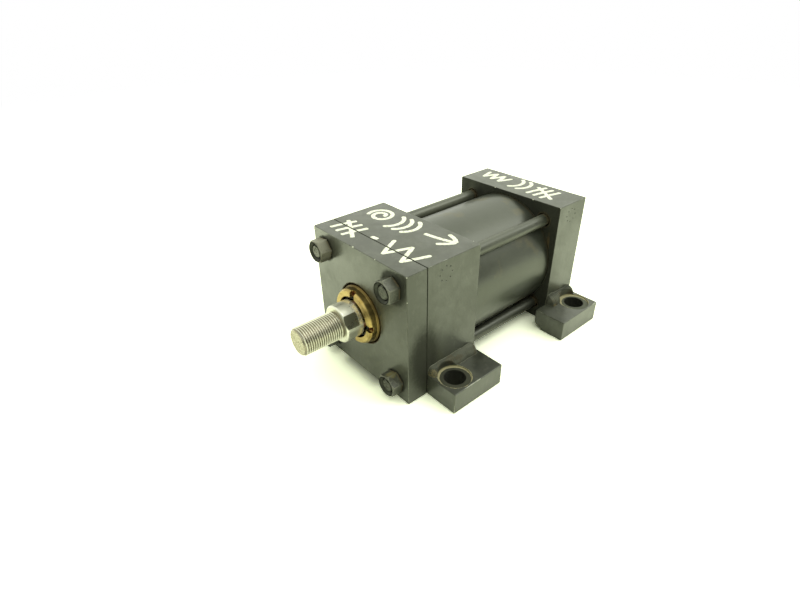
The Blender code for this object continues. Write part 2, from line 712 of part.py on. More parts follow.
def make_piston_rod():
    """The rod: threaded end, wrench flats, and a spigot for the piston."""
    thread = ROD_THREAD / 2
    rod = ROD / 2
    spigot = SPIGOT / 2
    nut_face = PISTON_REAR - NUT_POCKET_DEPTH + SEAT_GAP
    spigot_end = nut_face + PISTON_NUT_HEIGHT + SPIGOT_PAST_NUT
    o_ring_front = PISTON_FRONT + SPIGOT_O_RING_FROM_FRONT
    o_ring_rear = o_ring_front + SPIGOT_O_RING_SECTION + 2 * SEAL_GAP
    groove = spigot - SPIGOT_O_RING_SECTION
    profile = [
        (0.0, spigot_end),
        (spigot - ROD_THREAD_CHAMFER, spigot_end),
        (spigot, spigot_end - ROD_THREAD_CHAMFER),
        (spigot, o_ring_rear),
        (groove, o_ring_rear),
        (groove, o_ring_front),
        (spigot, o_ring_front),
        (spigot, PISTON_FRONT - SEAT_GAP),
        (rod, PISTON_FRONT - SEAT_GAP),
        (rod, SHOULDER + SHOULDER_CHAMFER),
        (rod - SHOULDER_CHAMFER, SHOULDER),
        (thread - UNDERCUT_DEPTH, SHOULDER),
        (thread - UNDERCUT_DEPTH, SHOULDER - UNDERCUT_WIDTH + UNDERCUT_DEPTH / 2),
        (thread, SHOULDER - UNDERCUT_WIDTH - UNDERCUT_DEPTH / 2),
        (thread, ROD_TIP + ROD_THREAD_CHAMFER),
        (thread - ROD_THREAD_CHAMFER, ROD_TIP),
        (0.0, ROD_TIP),
    ]
    obj = turned("piston_rod", profile, GLAND_SEGMENTS, parts, "bright_steel", axis_center(), closed=False)

    # Two square blocks mill the wrench flats
    shape = bmesh.new()
    near = ROD_ACROSS_FLATS / 2
    far = rod + OVERCUT
    for sign in (1, -1):
        block_verts = bmesh.ops.create_cube(shape, size=1.0)["verts"]
        size = (far - near, ROD_FLAT_LENGTH + OVERCUT, ROD + OVERCUT)
        bmesh.ops.scale(shape, vec=size, verts=block_verts)
        shift = (sign * (far + near) / 2, SHOULDER + (ROD_FLAT_LENGTH - OVERCUT) / 2, 0.0)
        bmesh.ops.translate(shape, vec=shift, verts=block_verts)
    bmesh.ops.rotate(
        shape, matrix=Matrix.Rotation(-ROD_FLAT_ANGLE, 3, "Y"), cent=(0.0, 0.0, 0.0), verts=shape.verts
    )
    mesh = bpy.data.meshes.new("wrench_flats")
    shape.to_mesh(mesh)
    shape.free()
    flats = add_object("wrench_flats", mesh, cutters)
    flats.location = axis_center()
    cut(obj, as_cutter(flats))

    center_y = (o_ring_front + o_ring_rear) / 2
    center_r = spigot - SPIGOT_O_RING_SECTION / 2 + SEAL_GAP
    section = round_section(center_r, center_y, SPIGOT_O_RING_SECTION / 2)
    turned("piston_o_ring", section, SPIGOT_O_RING_SEGMENTS, parts, "black_seal", axis_center())


def make_piston():
    """The piston, grooved for two seals and a wear ring, and its lock nut."""
    outer = BORE / 2 - PISTON_RUNNING_GAP
    bore = SPIGOT / 2 + SEAT_GAP
    seal_bottom = outer - PISTON_SEAL_DEPTH
    wear_bottom = outer - WEAR_RING_DEPTH
    middle = (PISTON_FRONT + PISTON_REAR) / 2
    seal_rear = PISTON_REAR - PISTON_SEAL_FROM_END
    seal_front = PISTON_FRONT + PISTON_SEAL_FROM_END
    seal_room = PISTON_SEAL_WIDTH + 2 * SEAL_GAP
    wear_room = WEAR_RING_WIDTH / 2 + SEAL_GAP
    pocket = NUT_POCKET / 2
    pocket_floor = PISTON_REAR - NUT_POCKET_DEPTH
    section = [
        (pocket, PISTON_REAR),
        (outer - PISTON_CHAMFER, PISTON_REAR),
        (outer, PISTON_REAR - PISTON_CHAMFER),
        (outer, seal_rear),
        (seal_bottom, seal_rear),
        (seal_bottom, seal_rear - seal_room),
        (outer, seal_rear - seal_room),
        (outer, middle + wear_room),
        (wear_bottom, middle + wear_room),
        (wear_bottom, middle - wear_room),
        (outer, middle - wear_room),
        (outer, seal_front + seal_room),
        (seal_bottom, seal_front + seal_room),
        (seal_bottom, seal_front),
        (outer, seal_front),
        (outer, PISTON_FRONT + PISTON_CHAMFER),
        (outer - PISTON_CHAMFER, PISTON_FRONT),
        (bore, PISTON_FRONT),
        (bore, pocket_floor),
        (pocket, pocket_floor),
    ]
    turned("piston", section, PISTON_SEGMENTS, parts, "cast_piston", axis_center())

    nut = nut_object(
        "piston_nut",
        PISTON_NUT_ACROSS_FLATS,
        PISTON_NUT_HEIGHT,
        SPIGOT,
        PISTON_NUT_CHAMFER,
        "dark_nut_steel",
    )
    spot = axis_center(pocket_floor + SEAT_GAP)
    place_all(nut, Matrix.Translation(spot) @ Matrix.Rotation(math.pi, 4, "Z"))

    wall = BORE / 2 - SEAL_GAP
    inner = seal_bottom + SEAL_GAP
    half = (wall + inner) / 2
    rear_front = seal_rear - SEAL_GAP - PISTON_SEAL_WIDTH
    rear_rear = seal_rear - SEAL_GAP
    rear_cup = [
        (wall, rear_rear),
        (wall, rear_front),
        (inner, rear_front),
        (inner, rear_rear),
        (half, rear_rear - SEAL_SCOOP),
    ]
    front_front = seal_front + SEAL_GAP
    front_rear = front_front + PISTON_SEAL_WIDTH
    front_cup = [
        (wall, front_rear),
        (wall, front_front),
        (half, front_front + SEAL_SCOOP),
        (inner, front_front),
        (inner, front_rear),
    ]
    turned("piston_seal_rear", rear_cup, PISTON_SEGMENTS, parts, "black_seal", axis_center())
    turned("piston_seal_front", front_cup, PISTON_SEGMENTS, parts, "black_seal", axis_center())
    band = ring(wear_bottom + SEAL_GAP, wall, middle - WEAR_RING_WIDTH / 2, middle + WEAR_RING_WIDTH / 2)
    turned("wear_ring", band, PISTON_SEGMENTS, parts, "guide_plastic", axis_center())


for old in list(bpy.data.objects):
    bpy.data.objects.remove(old)

parts = make_collection("air_cylinder")
cutters = make_collection("cutters")
tie_rod_drills = tie_rod_hole_cutter()
make_retainer_plate()
make_head()
make_cap()
make_tube()
make_gaskets()
make_tie_rods()
make_tie_rod_nuts()
make_lugs()
make_gland()
make_gland_seals()
make_piston_rod()
make_piston()
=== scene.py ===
# %% [markdown]
# # A tie-rod air cylinder, dressed piece by piece
#
# The CAD model already has every part at its real size. This lesson gives those
# parts the surface that a used cylinder has: oiled black steel, satin paint,
# bronze, bright turned steel, welds, threads and a little rust. Lengths are in
# metres, +Y runs from the rod end to the cap end, and +Z is up.

# %% Load the frame
import math

import bmesh
import bpy
from mathutils import Matrix, Vector, noise


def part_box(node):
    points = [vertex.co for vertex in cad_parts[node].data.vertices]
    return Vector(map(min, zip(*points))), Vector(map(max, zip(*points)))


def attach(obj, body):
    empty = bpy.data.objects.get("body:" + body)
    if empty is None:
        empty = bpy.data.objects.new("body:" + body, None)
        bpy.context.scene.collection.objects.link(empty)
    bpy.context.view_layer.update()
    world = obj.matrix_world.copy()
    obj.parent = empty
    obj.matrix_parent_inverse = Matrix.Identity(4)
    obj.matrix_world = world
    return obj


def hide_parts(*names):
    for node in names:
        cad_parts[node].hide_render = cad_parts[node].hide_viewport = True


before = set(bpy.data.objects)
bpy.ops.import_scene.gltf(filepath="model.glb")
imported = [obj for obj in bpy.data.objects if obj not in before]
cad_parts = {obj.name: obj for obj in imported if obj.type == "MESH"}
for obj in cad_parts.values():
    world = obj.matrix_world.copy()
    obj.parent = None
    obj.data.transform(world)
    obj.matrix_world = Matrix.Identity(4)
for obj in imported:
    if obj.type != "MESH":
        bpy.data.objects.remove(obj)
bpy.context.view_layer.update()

# %% [markdown]
# ## Sizes
#
# Wherever the frame can say where something is, the script asks it, so that a
# piece always sits where the CAD puts it. What a box can't tell, such as a bore
# or a thread's pitch, is named here once.

# %% Measure the frame
MM = 0.001
INCH = 0.0254
plate_low, plate_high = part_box("retainer_plate")
head_low, head_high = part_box("head")
cap_low, cap_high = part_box("cap")
tube_low, tube_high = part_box("cylinder_tube")
gland_low, gland_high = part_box("rod_gland")
rod_low, rod_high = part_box("piston_rod")
piston_low, piston_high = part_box("piston")
AXIS_HEIGHT = (head_low.z + head_high.z) / 2
BLOCK_SIDE = head_high.x
print("axis height", round(AXIS_HEIGHT / MM, 3), "mm, block side", round(BLOCK_SIDE / MM, 3), "mm")

# %% Sizes that a box can't tell
BORE = 3.25 * INCH
TUBE_RADIUS = 1.75 * INCH
SEAT_GAP = 0.3 * MM
TIE_ROD_HALF = (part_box("upper_right_tie_rod")[0].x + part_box("upper_right_tie_rod")[1].x) / 2
TIE_ROD_HOLE = 10.6 * MM
TIE_ROD_THREAD = 0.375 * INCH
TIE_ROD_SHANK = 8.8 * MM
PLATE_BORE = 42.6 * MM
GLAND_BODY = 1.6 * INCH
GLAND_NOSE = 1.52 * INCH
WIPER_RECESS = 29.0 * MM
WIPER_RECESS_DEPTH = 6.5 * MM
ROD = 1.0 * INCH
ROD_THREAD = 0.75 * INCH
ROD_PITCH = INCH / 16
SHOULDER = plate_low.y - 0.75 * INCH
LUG_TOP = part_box("front_right_lug")[0].z + 0.625 * INCH
LUG_HOLE = 0.5625 * INCH
LUG_HOLE_X = BLOCK_SIDE + 0.5 * INCH
SPOTFACE = 0.875 * INCH
SPOTFACE_DEPTH = 0.8 * MM
CHAMBER = 1.5 * INCH
# Small turns in radians, so that the corners of one round cut miss those of another
PORT_DRILL_TURN = 0.019
PORT_TAP_TURN = 0.044
SEAT_TURN = 0.013
print("tie rods at", round(TIE_ROD_HALF / MM, 2), "mm from the axis, across and up")

# %% [markdown]
# ## Camera
#
# The view was worked out from the corners of the blocks: a wide lens, close to
# the object, a little above it and to its right. A camera looks along its own
# -Z, so its matrix is built from the directions right, up and back.

# %% Place the camera
LENS_PIXELS = 497.64
PICTURE_WIDTH = 800.0
SENSOR = 36.0
CAMERA_TURN = 0.88145
CAMERA_TILT = 0.56757
CAMERA_ROLL = -0.02641
CAMERA_PLACE = Vector((0.22703, -0.18156, 0.23103))

back = Vector((
    math.sin(CAMERA_TURN) * math.cos(CAMERA_TILT),
    -math.cos(CAMERA_TURN) * math.cos(CAMERA_TILT),
    math.sin(CAMERA_TILT),
))
level_right = Vector((math.cos(CAMERA_TURN), math.sin(CAMERA_TURN), 0.0))
level_up = back.cross(level_right)
right = level_right * math.cos(CAMERA_ROLL) + level_up * math.sin(CAMERA_ROLL)
up = level_up * math.cos(CAMERA_ROLL) - level_right * math.sin(CAMERA_ROLL)
camera_data = bpy.data.cameras.new("camera")
camera_data.sensor_width = SENSOR
camera_data.lens = LENS_PIXELS / PICTURE_WIDTH * SENSOR
camera_data.clip_start = 0.01
camera = bpy.data.objects.new("camera", camera_data)
camera.matrix_world = Matrix.Translation(CAMERA_PLACE) @ Matrix((right, up, back)).transposed().to_4x4()
bpy.context.scene.collection.objects.link(camera)
bpy.context.scene.camera = camera
bpy.context.scene.view_settings.view_transform = "Standard"
print("lens", round(camera_data.lens, 2), "mm")

# %% [markdown]
# ## Nodes in few words
#
# A material is a small graph. These helpers add one node each, and link an
# input when they are given a socket, or set it when they are given a number.
# That keeps every recipe below as short as the idea behind it.

# %% Node helpers
def feed(tree, node, inputs):
    """Link each input that is given a socket, and set each that is given a value."""
    for key, value in inputs.items():
        if isinstance(value, bpy.types.NodeSocket):
            tree.links.new(value, node.inputs[key])
        else:
            node.inputs[key].default_value = value


def put(tree, kind, inputs=None, **settings):
    """Add a shader node, choose its settings, then link or set its inputs."""
    made = tree.nodes.new("ShaderNode" + kind)
    for setting, value in settings.items():
        setattr(made, setting, value)
    feed(tree, made, inputs or {})
    return made


def calc(tree, operation, first, second=0.0, clamp=False):
    """One sum of two numbers or sockets."""
    return put(tree, "Math", {0: first, 1: second}, operation=operation, use_clamp=clamp).outputs[0]


def vector_calc(tree, operation, first, second=(0.0, 0.0, 0.0)):
    """One sum of two vectors; a length comes out of the Value socket."""
    made = put(tree, "VectorMath", {0: first, 1: second}, operation=operation)
    return made.outputs["Value" if operation in ("LENGTH", "DISTANCE", "DOT_PRODUCT") else "Vector"]


def smooth_step(tree, value, low, high, start=0.0, end=1.0):
    """Run from start to end while value runs from low to high."""
    inputs = {"Value": value, "From Min": low, "From Max": high, "To Min": start, "To Max": end}
    return put(tree, "MapRange", inputs, interpolation_type="SMOOTHSTEP").outputs[0]


def mix_color(tree, factor, first, second):
    """Mix two colours."""
    return put(tree, "Mix", {0: factor, 6: first, 7: second}, data_type="RGBA").outputs[2]


def soft_noise(tree, point, scale, detail=3.0, roughness=0.5):
    """A noise value about 0.5, with this many bumps a metre."""
    inputs = {"Vector": point, "Scale": scale, "Detail": detail, "Roughness": roughness}
    return put(tree, "TexNoise", inputs).outputs[0]


def new_group(name, inputs, outputs):
    """A shader group with named sockets: gives its tree, its inputs and its outputs."""
    tree = bpy.data.node_groups.new(name, "ShaderNodeTree")
    for label, kind, value in inputs:
        socket = tree.interface.new_socket(name=label, in_out="INPUT", socket_type="NodeSocket" + kind)
        socket.default_value = value
    for label, kind in outputs:
        tree.interface.new_socket(name=label, in_out="OUTPUT", socket_type="NodeSocket" + kind)
    return tree, tree.nodes.new("NodeGroupInput").outputs, tree.nodes.new("NodeGroupOutput").inputs


def use_group(tree, group, inputs):
    """Place a shared group in a material and give its outputs."""
    made = tree.nodes.new("ShaderNodeGroup")
    made.node_tree = group
    feed(tree, made, inputs)
    return made.outputs


print("node helpers ready")

# %% [markdown]
# ## Shared effects
#
# Used steel shows the same few things everywhere: bright worn edges, cloudy oil
# film, fine scratches and rust that creeps out of holes. The bright edges also
# stand in for the highlights that edges catch, so they are partly painted
# highlight. Each is one group, made once. On a box, the distance to the nearest
# edge needs no painting: of the three distances to the box's faces one is zero
# on the surface, and the middle one is how far the nearest edge is.

# %% Distance to the nearest edge of a box
edge_distance, start, end = new_group(
    "distance to the nearest edge",
    [
        ("Point", "Vector", (0.0, 0.0, 0.0)),
        ("Low", "Vector", (0.0, 0.0, 0.0)),
        ("High", "Vector", (1.0, 1.0, 1.0)),
    ],
    [("Distance", "Float")],
)
from_low = vector_calc(edge_distance, "SUBTRACT", start["Point"], start["Low"])
from_high = vector_calc(edge_distance, "SUBTRACT", start["High"], start["Point"])
nearest = vector_calc(edge_distance, "MINIMUM", from_low, from_high)
apart = put(edge_distance, "SeparateXYZ", {0: nearest}).outputs
least = calc(edge_distance, "MINIMUM", calc(edge_distance, "MINIMUM", apart[0], apart[1]), apart[2])
most = calc(edge_distance, "MAXIMUM", calc(edge_distance, "MAXIMUM", apart[0], apart[1]), apart[2])
total = calc(edge_distance, "ADD", calc(edge_distance, "ADD", apart[0], apart[1]), apart[2])
middle = calc(edge_distance, "SUBTRACT", calc(edge_distance, "SUBTRACT", total, least), most)
edge_distance.links.new(middle, end["Distance"])
print("edge distance group:", len(edge_distance.nodes), "nodes")

# %% Wear along edges, broken up by noise; the bright edges are partly painted highlight
edge_wear_and_highlight, start, end = new_group(
    "wear and highlight along edges",
    [("Point", "Vector", (0.0, 0.0, 0.0)), ("Distance", "Float", 1.0), ("Width", "Float", 0.6 * MM)],
    [("Mask", "Float")],
)
patches = smooth_step(edge_wear_and_highlight, soft_noise(edge_wear_and_highlight, start["Point"], 60.0, 2.0), 0.42, 0.74, 0.10, 1.5)
teeth = soft_noise(edge_wear_and_highlight, start["Point"], 1100.0, 4.0, 0.7)
reach = calc(
    edge_wear_and_highlight,
    "MULTIPLY",
    start["Width"],
    calc(edge_wear_and_highlight, "MULTIPLY", patches, calc(edge_wear_and_highlight, "MULTIPLY", teeth, 2.0)),
)
worn_and_lit = smooth_step(edge_wear_and_highlight, calc(edge_wear_and_highlight, "SUBTRACT", start["Distance"], reach), 0.12 * MM, -0.12 * MM)
edge_wear_and_highlight.links.new(worn_and_lit, end["Mask"])
print("edge wear group:", len(edge_wear_and_highlight.nodes), "nodes")

# %% Cloudy film, in two sizes
clouds, start, end = new_group(
    "cloudy film",
    [("Point", "Vector", (0.0, 0.0, 0.0)), ("Size", "Float", 30.0)],
    [("Cloud", "Float")],
)
broad = soft_noise(clouds, start["Point"], start["Size"], 3.0, 0.55)
small = soft_noise(clouds, start["Point"], calc(clouds, "MULTIPLY", start["Size"], 6.0), 4.0, 0.6)
cloud = calc(clouds, "ADD", calc(clouds, "MULTIPLY", broad, 0.65), calc(clouds, "MULTIPLY", small, 0.35))
clouds.links.new(smooth_step(clouds, cloud, 0.36, 0.64), end["Cloud"])
print("cloud group:", len(clouds.nodes), "nodes")

# %% Fine scratches and machining lines along one direction
scratches, start, end = new_group(
    "fine scratches",
    [
        ("Point", "Vector", (0.0, 0.0, 0.0)),
        ("Stretch", "Vector", (1.0, 1.0, 0.05)),
        ("Scale", "Float", 1500.0),
    ],
    [("Lines", "Float"), ("Streaks", "Float")],
)
stretched = vector_calc(scratches, "MULTIPLY", start["Point"], start["Stretch"])
lines = soft_noise(scratches, stretched, start["Scale"], 2.0, 0.6)
scratches.links.new(smooth_step(scratches, lines, 0.3, 0.7), end["Lines"])
wide = soft_noise(scratches, stretched, calc(scratches, "MULTIPLY", start["Scale"], 0.12), 3.0, 0.55)
scratches.links.new(smooth_step(scratches, wide, 0.42, 0.68), end["Streaks"])
print("scratch group:", len(scratches.nodes), "nodes")

# %% A ring about a centre, for rims and stains
ring_mask, start, end = new_group(
    "ring about a centre",
    [
        ("Point", "Vector", (0.0, 0.0, 0.0)),
        ("Centre", "Vector", (0.0, 0.0, 0.0)),
        ("Across", "Vector", (1.0, 1.0, 1.0)),
        ("Inner", "Float", 0.0),
        ("Outer", "Float", 0.01),
        ("Soft", "Float", 0.5 * MM),
        ("Ragged", "Float", 0.5 * MM),
    ],
    [("Mask", "Float")],
)
offset = vector_calc(ring_mask, "SUBTRACT", start["Point"], start["Centre"])
radius = vector_calc(ring_mask, "LENGTH", vector_calc(ring_mask, "MULTIPLY", offset, start["Across"]))
ragged = calc(ring_mask, "SUBTRACT", soft_noise(ring_mask, start["Point"], 420.0, 4.0, 0.65), 0.5)
radius = calc(
    ring_mask,
    "ADD",
    radius,
    calc(ring_mask, "MULTIPLY", calc(ring_mask, "MULTIPLY", ragged, 4.0), start["Ragged"]),
)
inside = smooth_step(
    ring_mask, radius, calc(ring_mask, "ADD", start["Outer"], start["Soft"]), start["Outer"]
)
outside = smooth_step(
    ring_mask, radius, calc(ring_mask, "SUBTRACT", start["Inner"], start["Soft"]), start["Inner"]
)
ring_mask.links.new(calc(ring_mask, "MULTIPLY", inside, outside, clamp=True), end["Mask"])
# An inner radius below zero leaves no hole in the middle
FILLED = -1.0 * MM
TOE_LINE = {"Inner": FILLED, "Outer": 0.12 * MM, "Soft": 0.2 * MM, "Ragged": 0.1 * MM}
print("ring group:", len(ring_mask.nodes), "nodes")

# %% [markdown]
# ## Materials start the same way
#
# Each finish is a Principled shader. What changes over the surface is linked,
# and what is the same all over is set on the shader itself.

# %% A Principled material, and the point that patterns read
def new_finish(name, **values):
    """A material with a Principled shader: gives material, tree, shader and the object point."""
    material = bpy.data.materials.new(name)
    material.use_nodes = True
    tree = material.node_tree
    shader = tree.nodes["Principled BSDF"]
    for key, value in values.items():
        shader.inputs[key.replace("_", " ")].default_value = value
    point = put(tree, "TexCoord").outputs["Object"]
    return material, tree, shader, point


def color(red, green, blue):
    """A linear colour with full alpha."""
    return (red, green, blue, 1.0)


def bump(tree, height, depth, strength=1.0, normal=None):
    """A Bump node for a height from 0 to 1 that stands for this depth."""
    inputs = {"Height": height, "Distance": depth, "Strength": strength}
    if normal is not None:
        inputs["Normal"] = normal
    return put(tree, "Bump", inputs).outputs[0]


print("material helpers ready")

# %% [markdown]
# ## Oiled black steel
#
# Head, cap, plate and lugs are cold-drawn steel with a thin black finish that
# has gone olive grey under old oil. Light areas are where the film is thin.
# The rings come last, because they lie on top of everything else: rust, chips,
# and the painted shade round the nuts, beside the lugs, on the cap's front face
# and down the lug holes.

# %% The finish of the square blocks
STEEL_DARK = color(0.012, 0.013, 0.009)
STEEL_LIGHT = color(0.036, 0.039, 0.027)
STEEL_STREAK = color(0.070, 0.075, 0.054)
WORN_EDGE_AND_HIGHLIGHT = color(0.34, 0.35, 0.28)
CHIP = color(0.62, 0.63, 0.50)
# DIRT_AND_SHADE is dirt on pitted ends and dark joints, and it is also the colour of painted shade: round
# the nuts, beside the lugs, on the cap's front face, under the tube, on the lower tie rods and in the nuts'
# bores.
DIRT_AND_SHADE = color(0.008, 0.008, 0.006)
RUST_DARK = color(0.060, 0.038, 0.014)
PALE_STEEL = color(0.250, 0.240, 0.180)
OILED = {"IOR": 1.62, "Specular_Tint": color(0.95, 1.0, 0.78), "Coat_Roughness": 0.24, "Coat_IOR": 1.5}


def oiled_steel(name, low, high, ring_marks=(), edge_mark_width=0.26 * MM):
    """Black steel for a box from low to high, with the given rings of rust, chips and painted shade on top.
    """
    material, tree, shader, point = new_finish(name, **OILED)
    cloud = use_group(
        tree, clouds, {"Point": vector_calc(tree, "MULTIPLY", point, (1.0, 1.0, 0.45)), "Size": 30.0}
    )["Cloud"]
    film = use_group(
        tree, clouds, {"Point": vector_calc(tree, "ADD", point, (0.4, 0.2, 0.7)), "Size": 26.0}
    )["Cloud"]
    blots = soft_noise(tree, vector_calc(tree, "MULTIPLY", point, (1.0, 1.0, 0.6)), 240.0, 5.0, 0.62)
    lines = use_group(tree, scratches, {"Point": point, "Stretch": (1.0, 1.0, 0.06), "Scale": 1300.0})
    base = mix_color(tree, cloud, STEEL_DARK, STEEL_LIGHT)
    base = mix_color(tree, smooth_step(tree, blots, 0.50, 0.72, 0.0, 0.45), base, STEEL_STREAK)
    base = mix_color(tree, calc(tree, "MULTIPLY", lines["Streaks"], 0.16), base, STEEL_STREAK)
    edge = use_group(tree, edge_distance, {"Point": point, "Low": low, "High": high})["Distance"]
    worn_and_lit = use_group(tree, edge_wear_and_highlight, {"Point": point, "Distance": edge, "Width": edge_mark_width})["Mask"]
    # Bright edges: worn steel, and partly a painted highlight along each edge.
    base = mix_color(tree, worn_and_lit, base, WORN_EDGE_AND_HIGHLIGHT)
    # rust gathers the masks of all rings: rust, chips, the dark joint and painted shade alike; each takes
    # coat and shine away.
    rust = None
    for centre, across, inner, outer, soft, ragged, tone in ring_marks:
        values = {"Point": point, "Centre": centre, "Across": across, "Inner": inner, "Outer": outer}
        mask = use_group(tree, ring_mask, {**values, "Soft": soft, "Ragged": ragged})["Mask"]
        base = mix_color(tree, mask, base, tone)
        rust = mask if rust is None else calc(tree, "MAXIMUM", rust, mask)
    tree.links.new(base, shader.inputs["Base Color"])
    rough = smooth_step(
        tree, calc(tree, "ADD", calc(tree, "MULTIPLY", blots, 0.7), cloud), 0.2, 1.3, 0.30, 0.48
    )
    metal = calc(tree, "MULTIPLY", worn_and_lit, 0.7)
    coat = smooth_step(tree, film, 0.0, 1.0, 0.60, 1.0)
    if rust is not None:
        clean = calc(tree, "SUBTRACT", 1.0, rust)
        rough = calc(tree, "ADD", rough, calc(tree, "MULTIPLY", rust, 0.35), clamp=True)
        metal = calc(tree, "MULTIPLY", metal, clean)
        coat = calc(tree, "MULTIPLY", coat, clean)
    tree.links.new(coat, shader.inputs["Coat Weight"])
    tree.links.new(rough, shader.inputs["Roughness"])
    tree.links.new(metal, shader.inputs["Metallic"])
    grain = soft_noise(tree, point, 2600.0, 3.0, 0.6)
    height = calc(
        tree, "ADD", calc(tree, "MULTIPLY", grain, 0.6), calc(tree, "MULTIPLY", lines["Lines"], 0.4)
    )
    tree.links.new(bump(tree, height, 0.012 * MM, 0.5), shader.inputs["Normal"])
    return material


print("steel colours set")

# %% [markdown]
# ## Turned pieces
#
# Tube, rods, gland, nuts and seals are all turned. Each is a profile of radius
# and length, spun once about the Y axis. A sharp corner never exists on a real
# lathe part, so the profile's corners are first replaced by short curves.

# %% Profile, spin and clean up
def soften(profile, width, closed=True, steps=3):
    """Replace each corner of a profile by a small curve."""
    points = [Vector(point) for point in profile]
    count = len(points)
    result = []
    for number, corner in enumerate(points):
        if not closed and number in (0, count - 1):
            result.append(tuple(corner))
            continue
        before = points[number - 1] - corner
        after = points[(number + 1) % count] - corner
        reach = min(width, before.length * 0.45, after.length * 0.45)
        first = corner + before.normalized() * reach
        last = corner + after.normalized() * reach
        for step in range(steps + 1):
            part = step / steps
            bend = first * (1 - part) ** 2 + corner * (2 * part * (1 - part)) + last * part ** 2
            result.append(tuple(bend))
    return result


def spun(profile, steps=128, closed=True):
    """Spin a profile of (radius, y) points about the Y axis into a closed shape."""
    shape = bmesh.new()
    points = [shape.verts.new((radius, y, 0.0)) for radius, y in profile]
    for first, second in zip(points, points[1:]):
        shape.edges.new((first, second))
    if closed:
        shape.edges.new((points[-1], points[0]))
    bmesh.ops.spin(
        shape,
        geom=shape.verts[:] + shape.edges[:],
        cent=(0.0, 0.0, 0.0),
        axis=(0.0, 1.0, 0.0),
        angle=math.tau,
        steps=steps,
        use_merge=True,
    )
    bmesh.ops.remove_doubles(shape, verts=shape.verts, dist=0.002 * MM)
    bmesh.ops.recalc_face_normals(shape, faces=shape.faces)
    return shape


def to_object(name, shape, place=None, sharp=35.0):
    """Make an object of a bmesh, with its place in the mesh and smooth shading up to an angle."""
    if place is not None:
        bmesh.ops.transform(shape, matrix=place, verts=shape.verts)
    mesh = bpy.data.meshes.new(name)
    shape.to_mesh(mesh)
    shape.free()
    mesh.shade_smooth()
    mesh.set_sharp_from_angle(angle=math.radians(sharp))
    obj = bpy.data.objects.new(name, mesh)
    bpy.context.scene.collection.objects.link(obj)
    return obj


def axis_place(y=0.0):
    """The shift that puts a spun piece on the rod's axis."""
    return Matrix.Translation((0.0, y, AXIS_HEIGHT))


print("lathe helpers ready")

# %% Cutting, finishing and fastening pieces to the frame
def carve(piece, cutter, operation="DIFFERENCE", sharp=35.0):
    """Cut a piece with another and throw the cutter away."""
    step = piece.modifiers.new("carve", "BOOLEAN")
    step.operation = operation
    step.solver = "EXACT"
    step.object = cutter
    cut_mesh = bpy.data.meshes.new_from_object(piece.evaluated_get(bpy.context.evaluated_depsgraph_get()))
    piece.modifiers.clear()
    old = piece.data
    piece.data = cut_mesh
    cut_mesh.name = old.name
    bpy.data.meshes.remove(old)
    bpy.data.objects.remove(cutter)
    piece.data.shade_smooth()
    piece.data.set_sharp_from_angle(angle=math.radians(sharp))


def settle(piece, material, body, slot, *nodes):
    """Give a finished piece its material, even out its shading, and fasten it to the frame."""
    piece.data.materials.clear()
    piece.data.materials.append(material)
    shading = piece.modifiers.new("even shading", "WEIGHTED_NORMAL")
    shading.keep_sharp = True
    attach(piece, body)
    if nodes:
        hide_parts(*nodes)
    print(piece.name, len(piece.data.polygons), "faces")


def drill(radius, front, rear, mouth=0.0, steps=96):
    """A drill along Y from front to rear, with a small countersink at both ends."""
    profile = [
        (0.0, rear + mouth),
        (radius + 2 * mouth, rear + mouth),
        (radius, rear - mouth),
        (radius, front + mouth),
        (radius + 2 * mouth, front - mouth),
        (0.0, front - mouth),
    ]
    return spun(profile, steps, closed=False)


print("cutting helpers ready")

# %% [markdown]
# ## The square blocks
#
# Each block starts as a cube. Its edges get a small round, because a machinist
# breaks them with a file. Then the bores are drilled, exactly where the CAD
# has them. A few knocks on the edges are cut with small rough stones.

# %% A block with broken edges and its tie rod holes
BLOCK_EDGE = 0.45 * MM
HOLE_MOUTH = 0.15 * MM
corners = {
    "upper_right": (TIE_ROD_HALF, AXIS_HEIGHT + TIE_ROD_HALF),
    "upper_left": (-TIE_ROD_HALF, AXIS_HEIGHT + TIE_ROD_HALF),
    "lower_right": (TIE_ROD_HALF, AXIS_HEIGHT - TIE_ROD_HALF),
    "lower_left": (-TIE_ROD_HALF, AXIS_HEIGHT - TIE_ROD_HALF),
}


def bar(low, high, edge):
    """A box between two corners with rounded edges."""
    shape = bmesh.new()
    bmesh.ops.create_cube(shape, size=1.0)
    bmesh.ops.scale(shape, vec=high - low, verts=shape.verts)
    bmesh.ops.translate(shape, vec=(low + high) / 2, verts=shape.verts)
    bmesh.ops.bevel(
        shape,
        geom=shape.edges[:],
        offset=edge,
        offset_type="OFFSET",
        affect="EDGES",
        segments=3,
        profile=0.5,
        material=-1,
    )
    return shape


def square_block(name, low, high):
    """A steel block with the four tie rod holes."""
    block = to_object(name, bar(low, high, BLOCK_EDGE))
    for x, z in corners.values():
        hole = drill(TIE_ROD_HOLE / 2, low.y, high.y, HOLE_MOUTH, 64)
        carve(block, to_object("drill", hole, Matrix.Translation((x, 0.0, z))))
    return block


def knock(piece, place, size, seed, stretch=(1.0, 1.0, 1.0)):
    """Chip a piece with a small rough stone centred near place, turned so that no face lies flat on it."""
    stone = bmesh.new()
    bmesh.ops.create_icosphere(stone, subdivisions=2, radius=1.0)
    for vert in stone.verts:
        vert.co *= 1.0 + 0.35 * noise.noise(vert.co * 1.7 + Vector((seed, 0.0, 0.0)))
    bmesh.ops.rotate(
        stone, matrix=Matrix.Rotation(seed, 3, Vector((0.4, 0.7, 0.6))), cent=(0, 0, 0), verts=stone.verts
    )
    bmesh.ops.scale(stone, vec=Vector(stretch) * size, verts=stone.verts)
    lift = Vector((0.031, -0.043, 0.057)) * MM
    carve(piece, to_object("stone", stone, Matrix.Translation(Vector(place) + lift)))


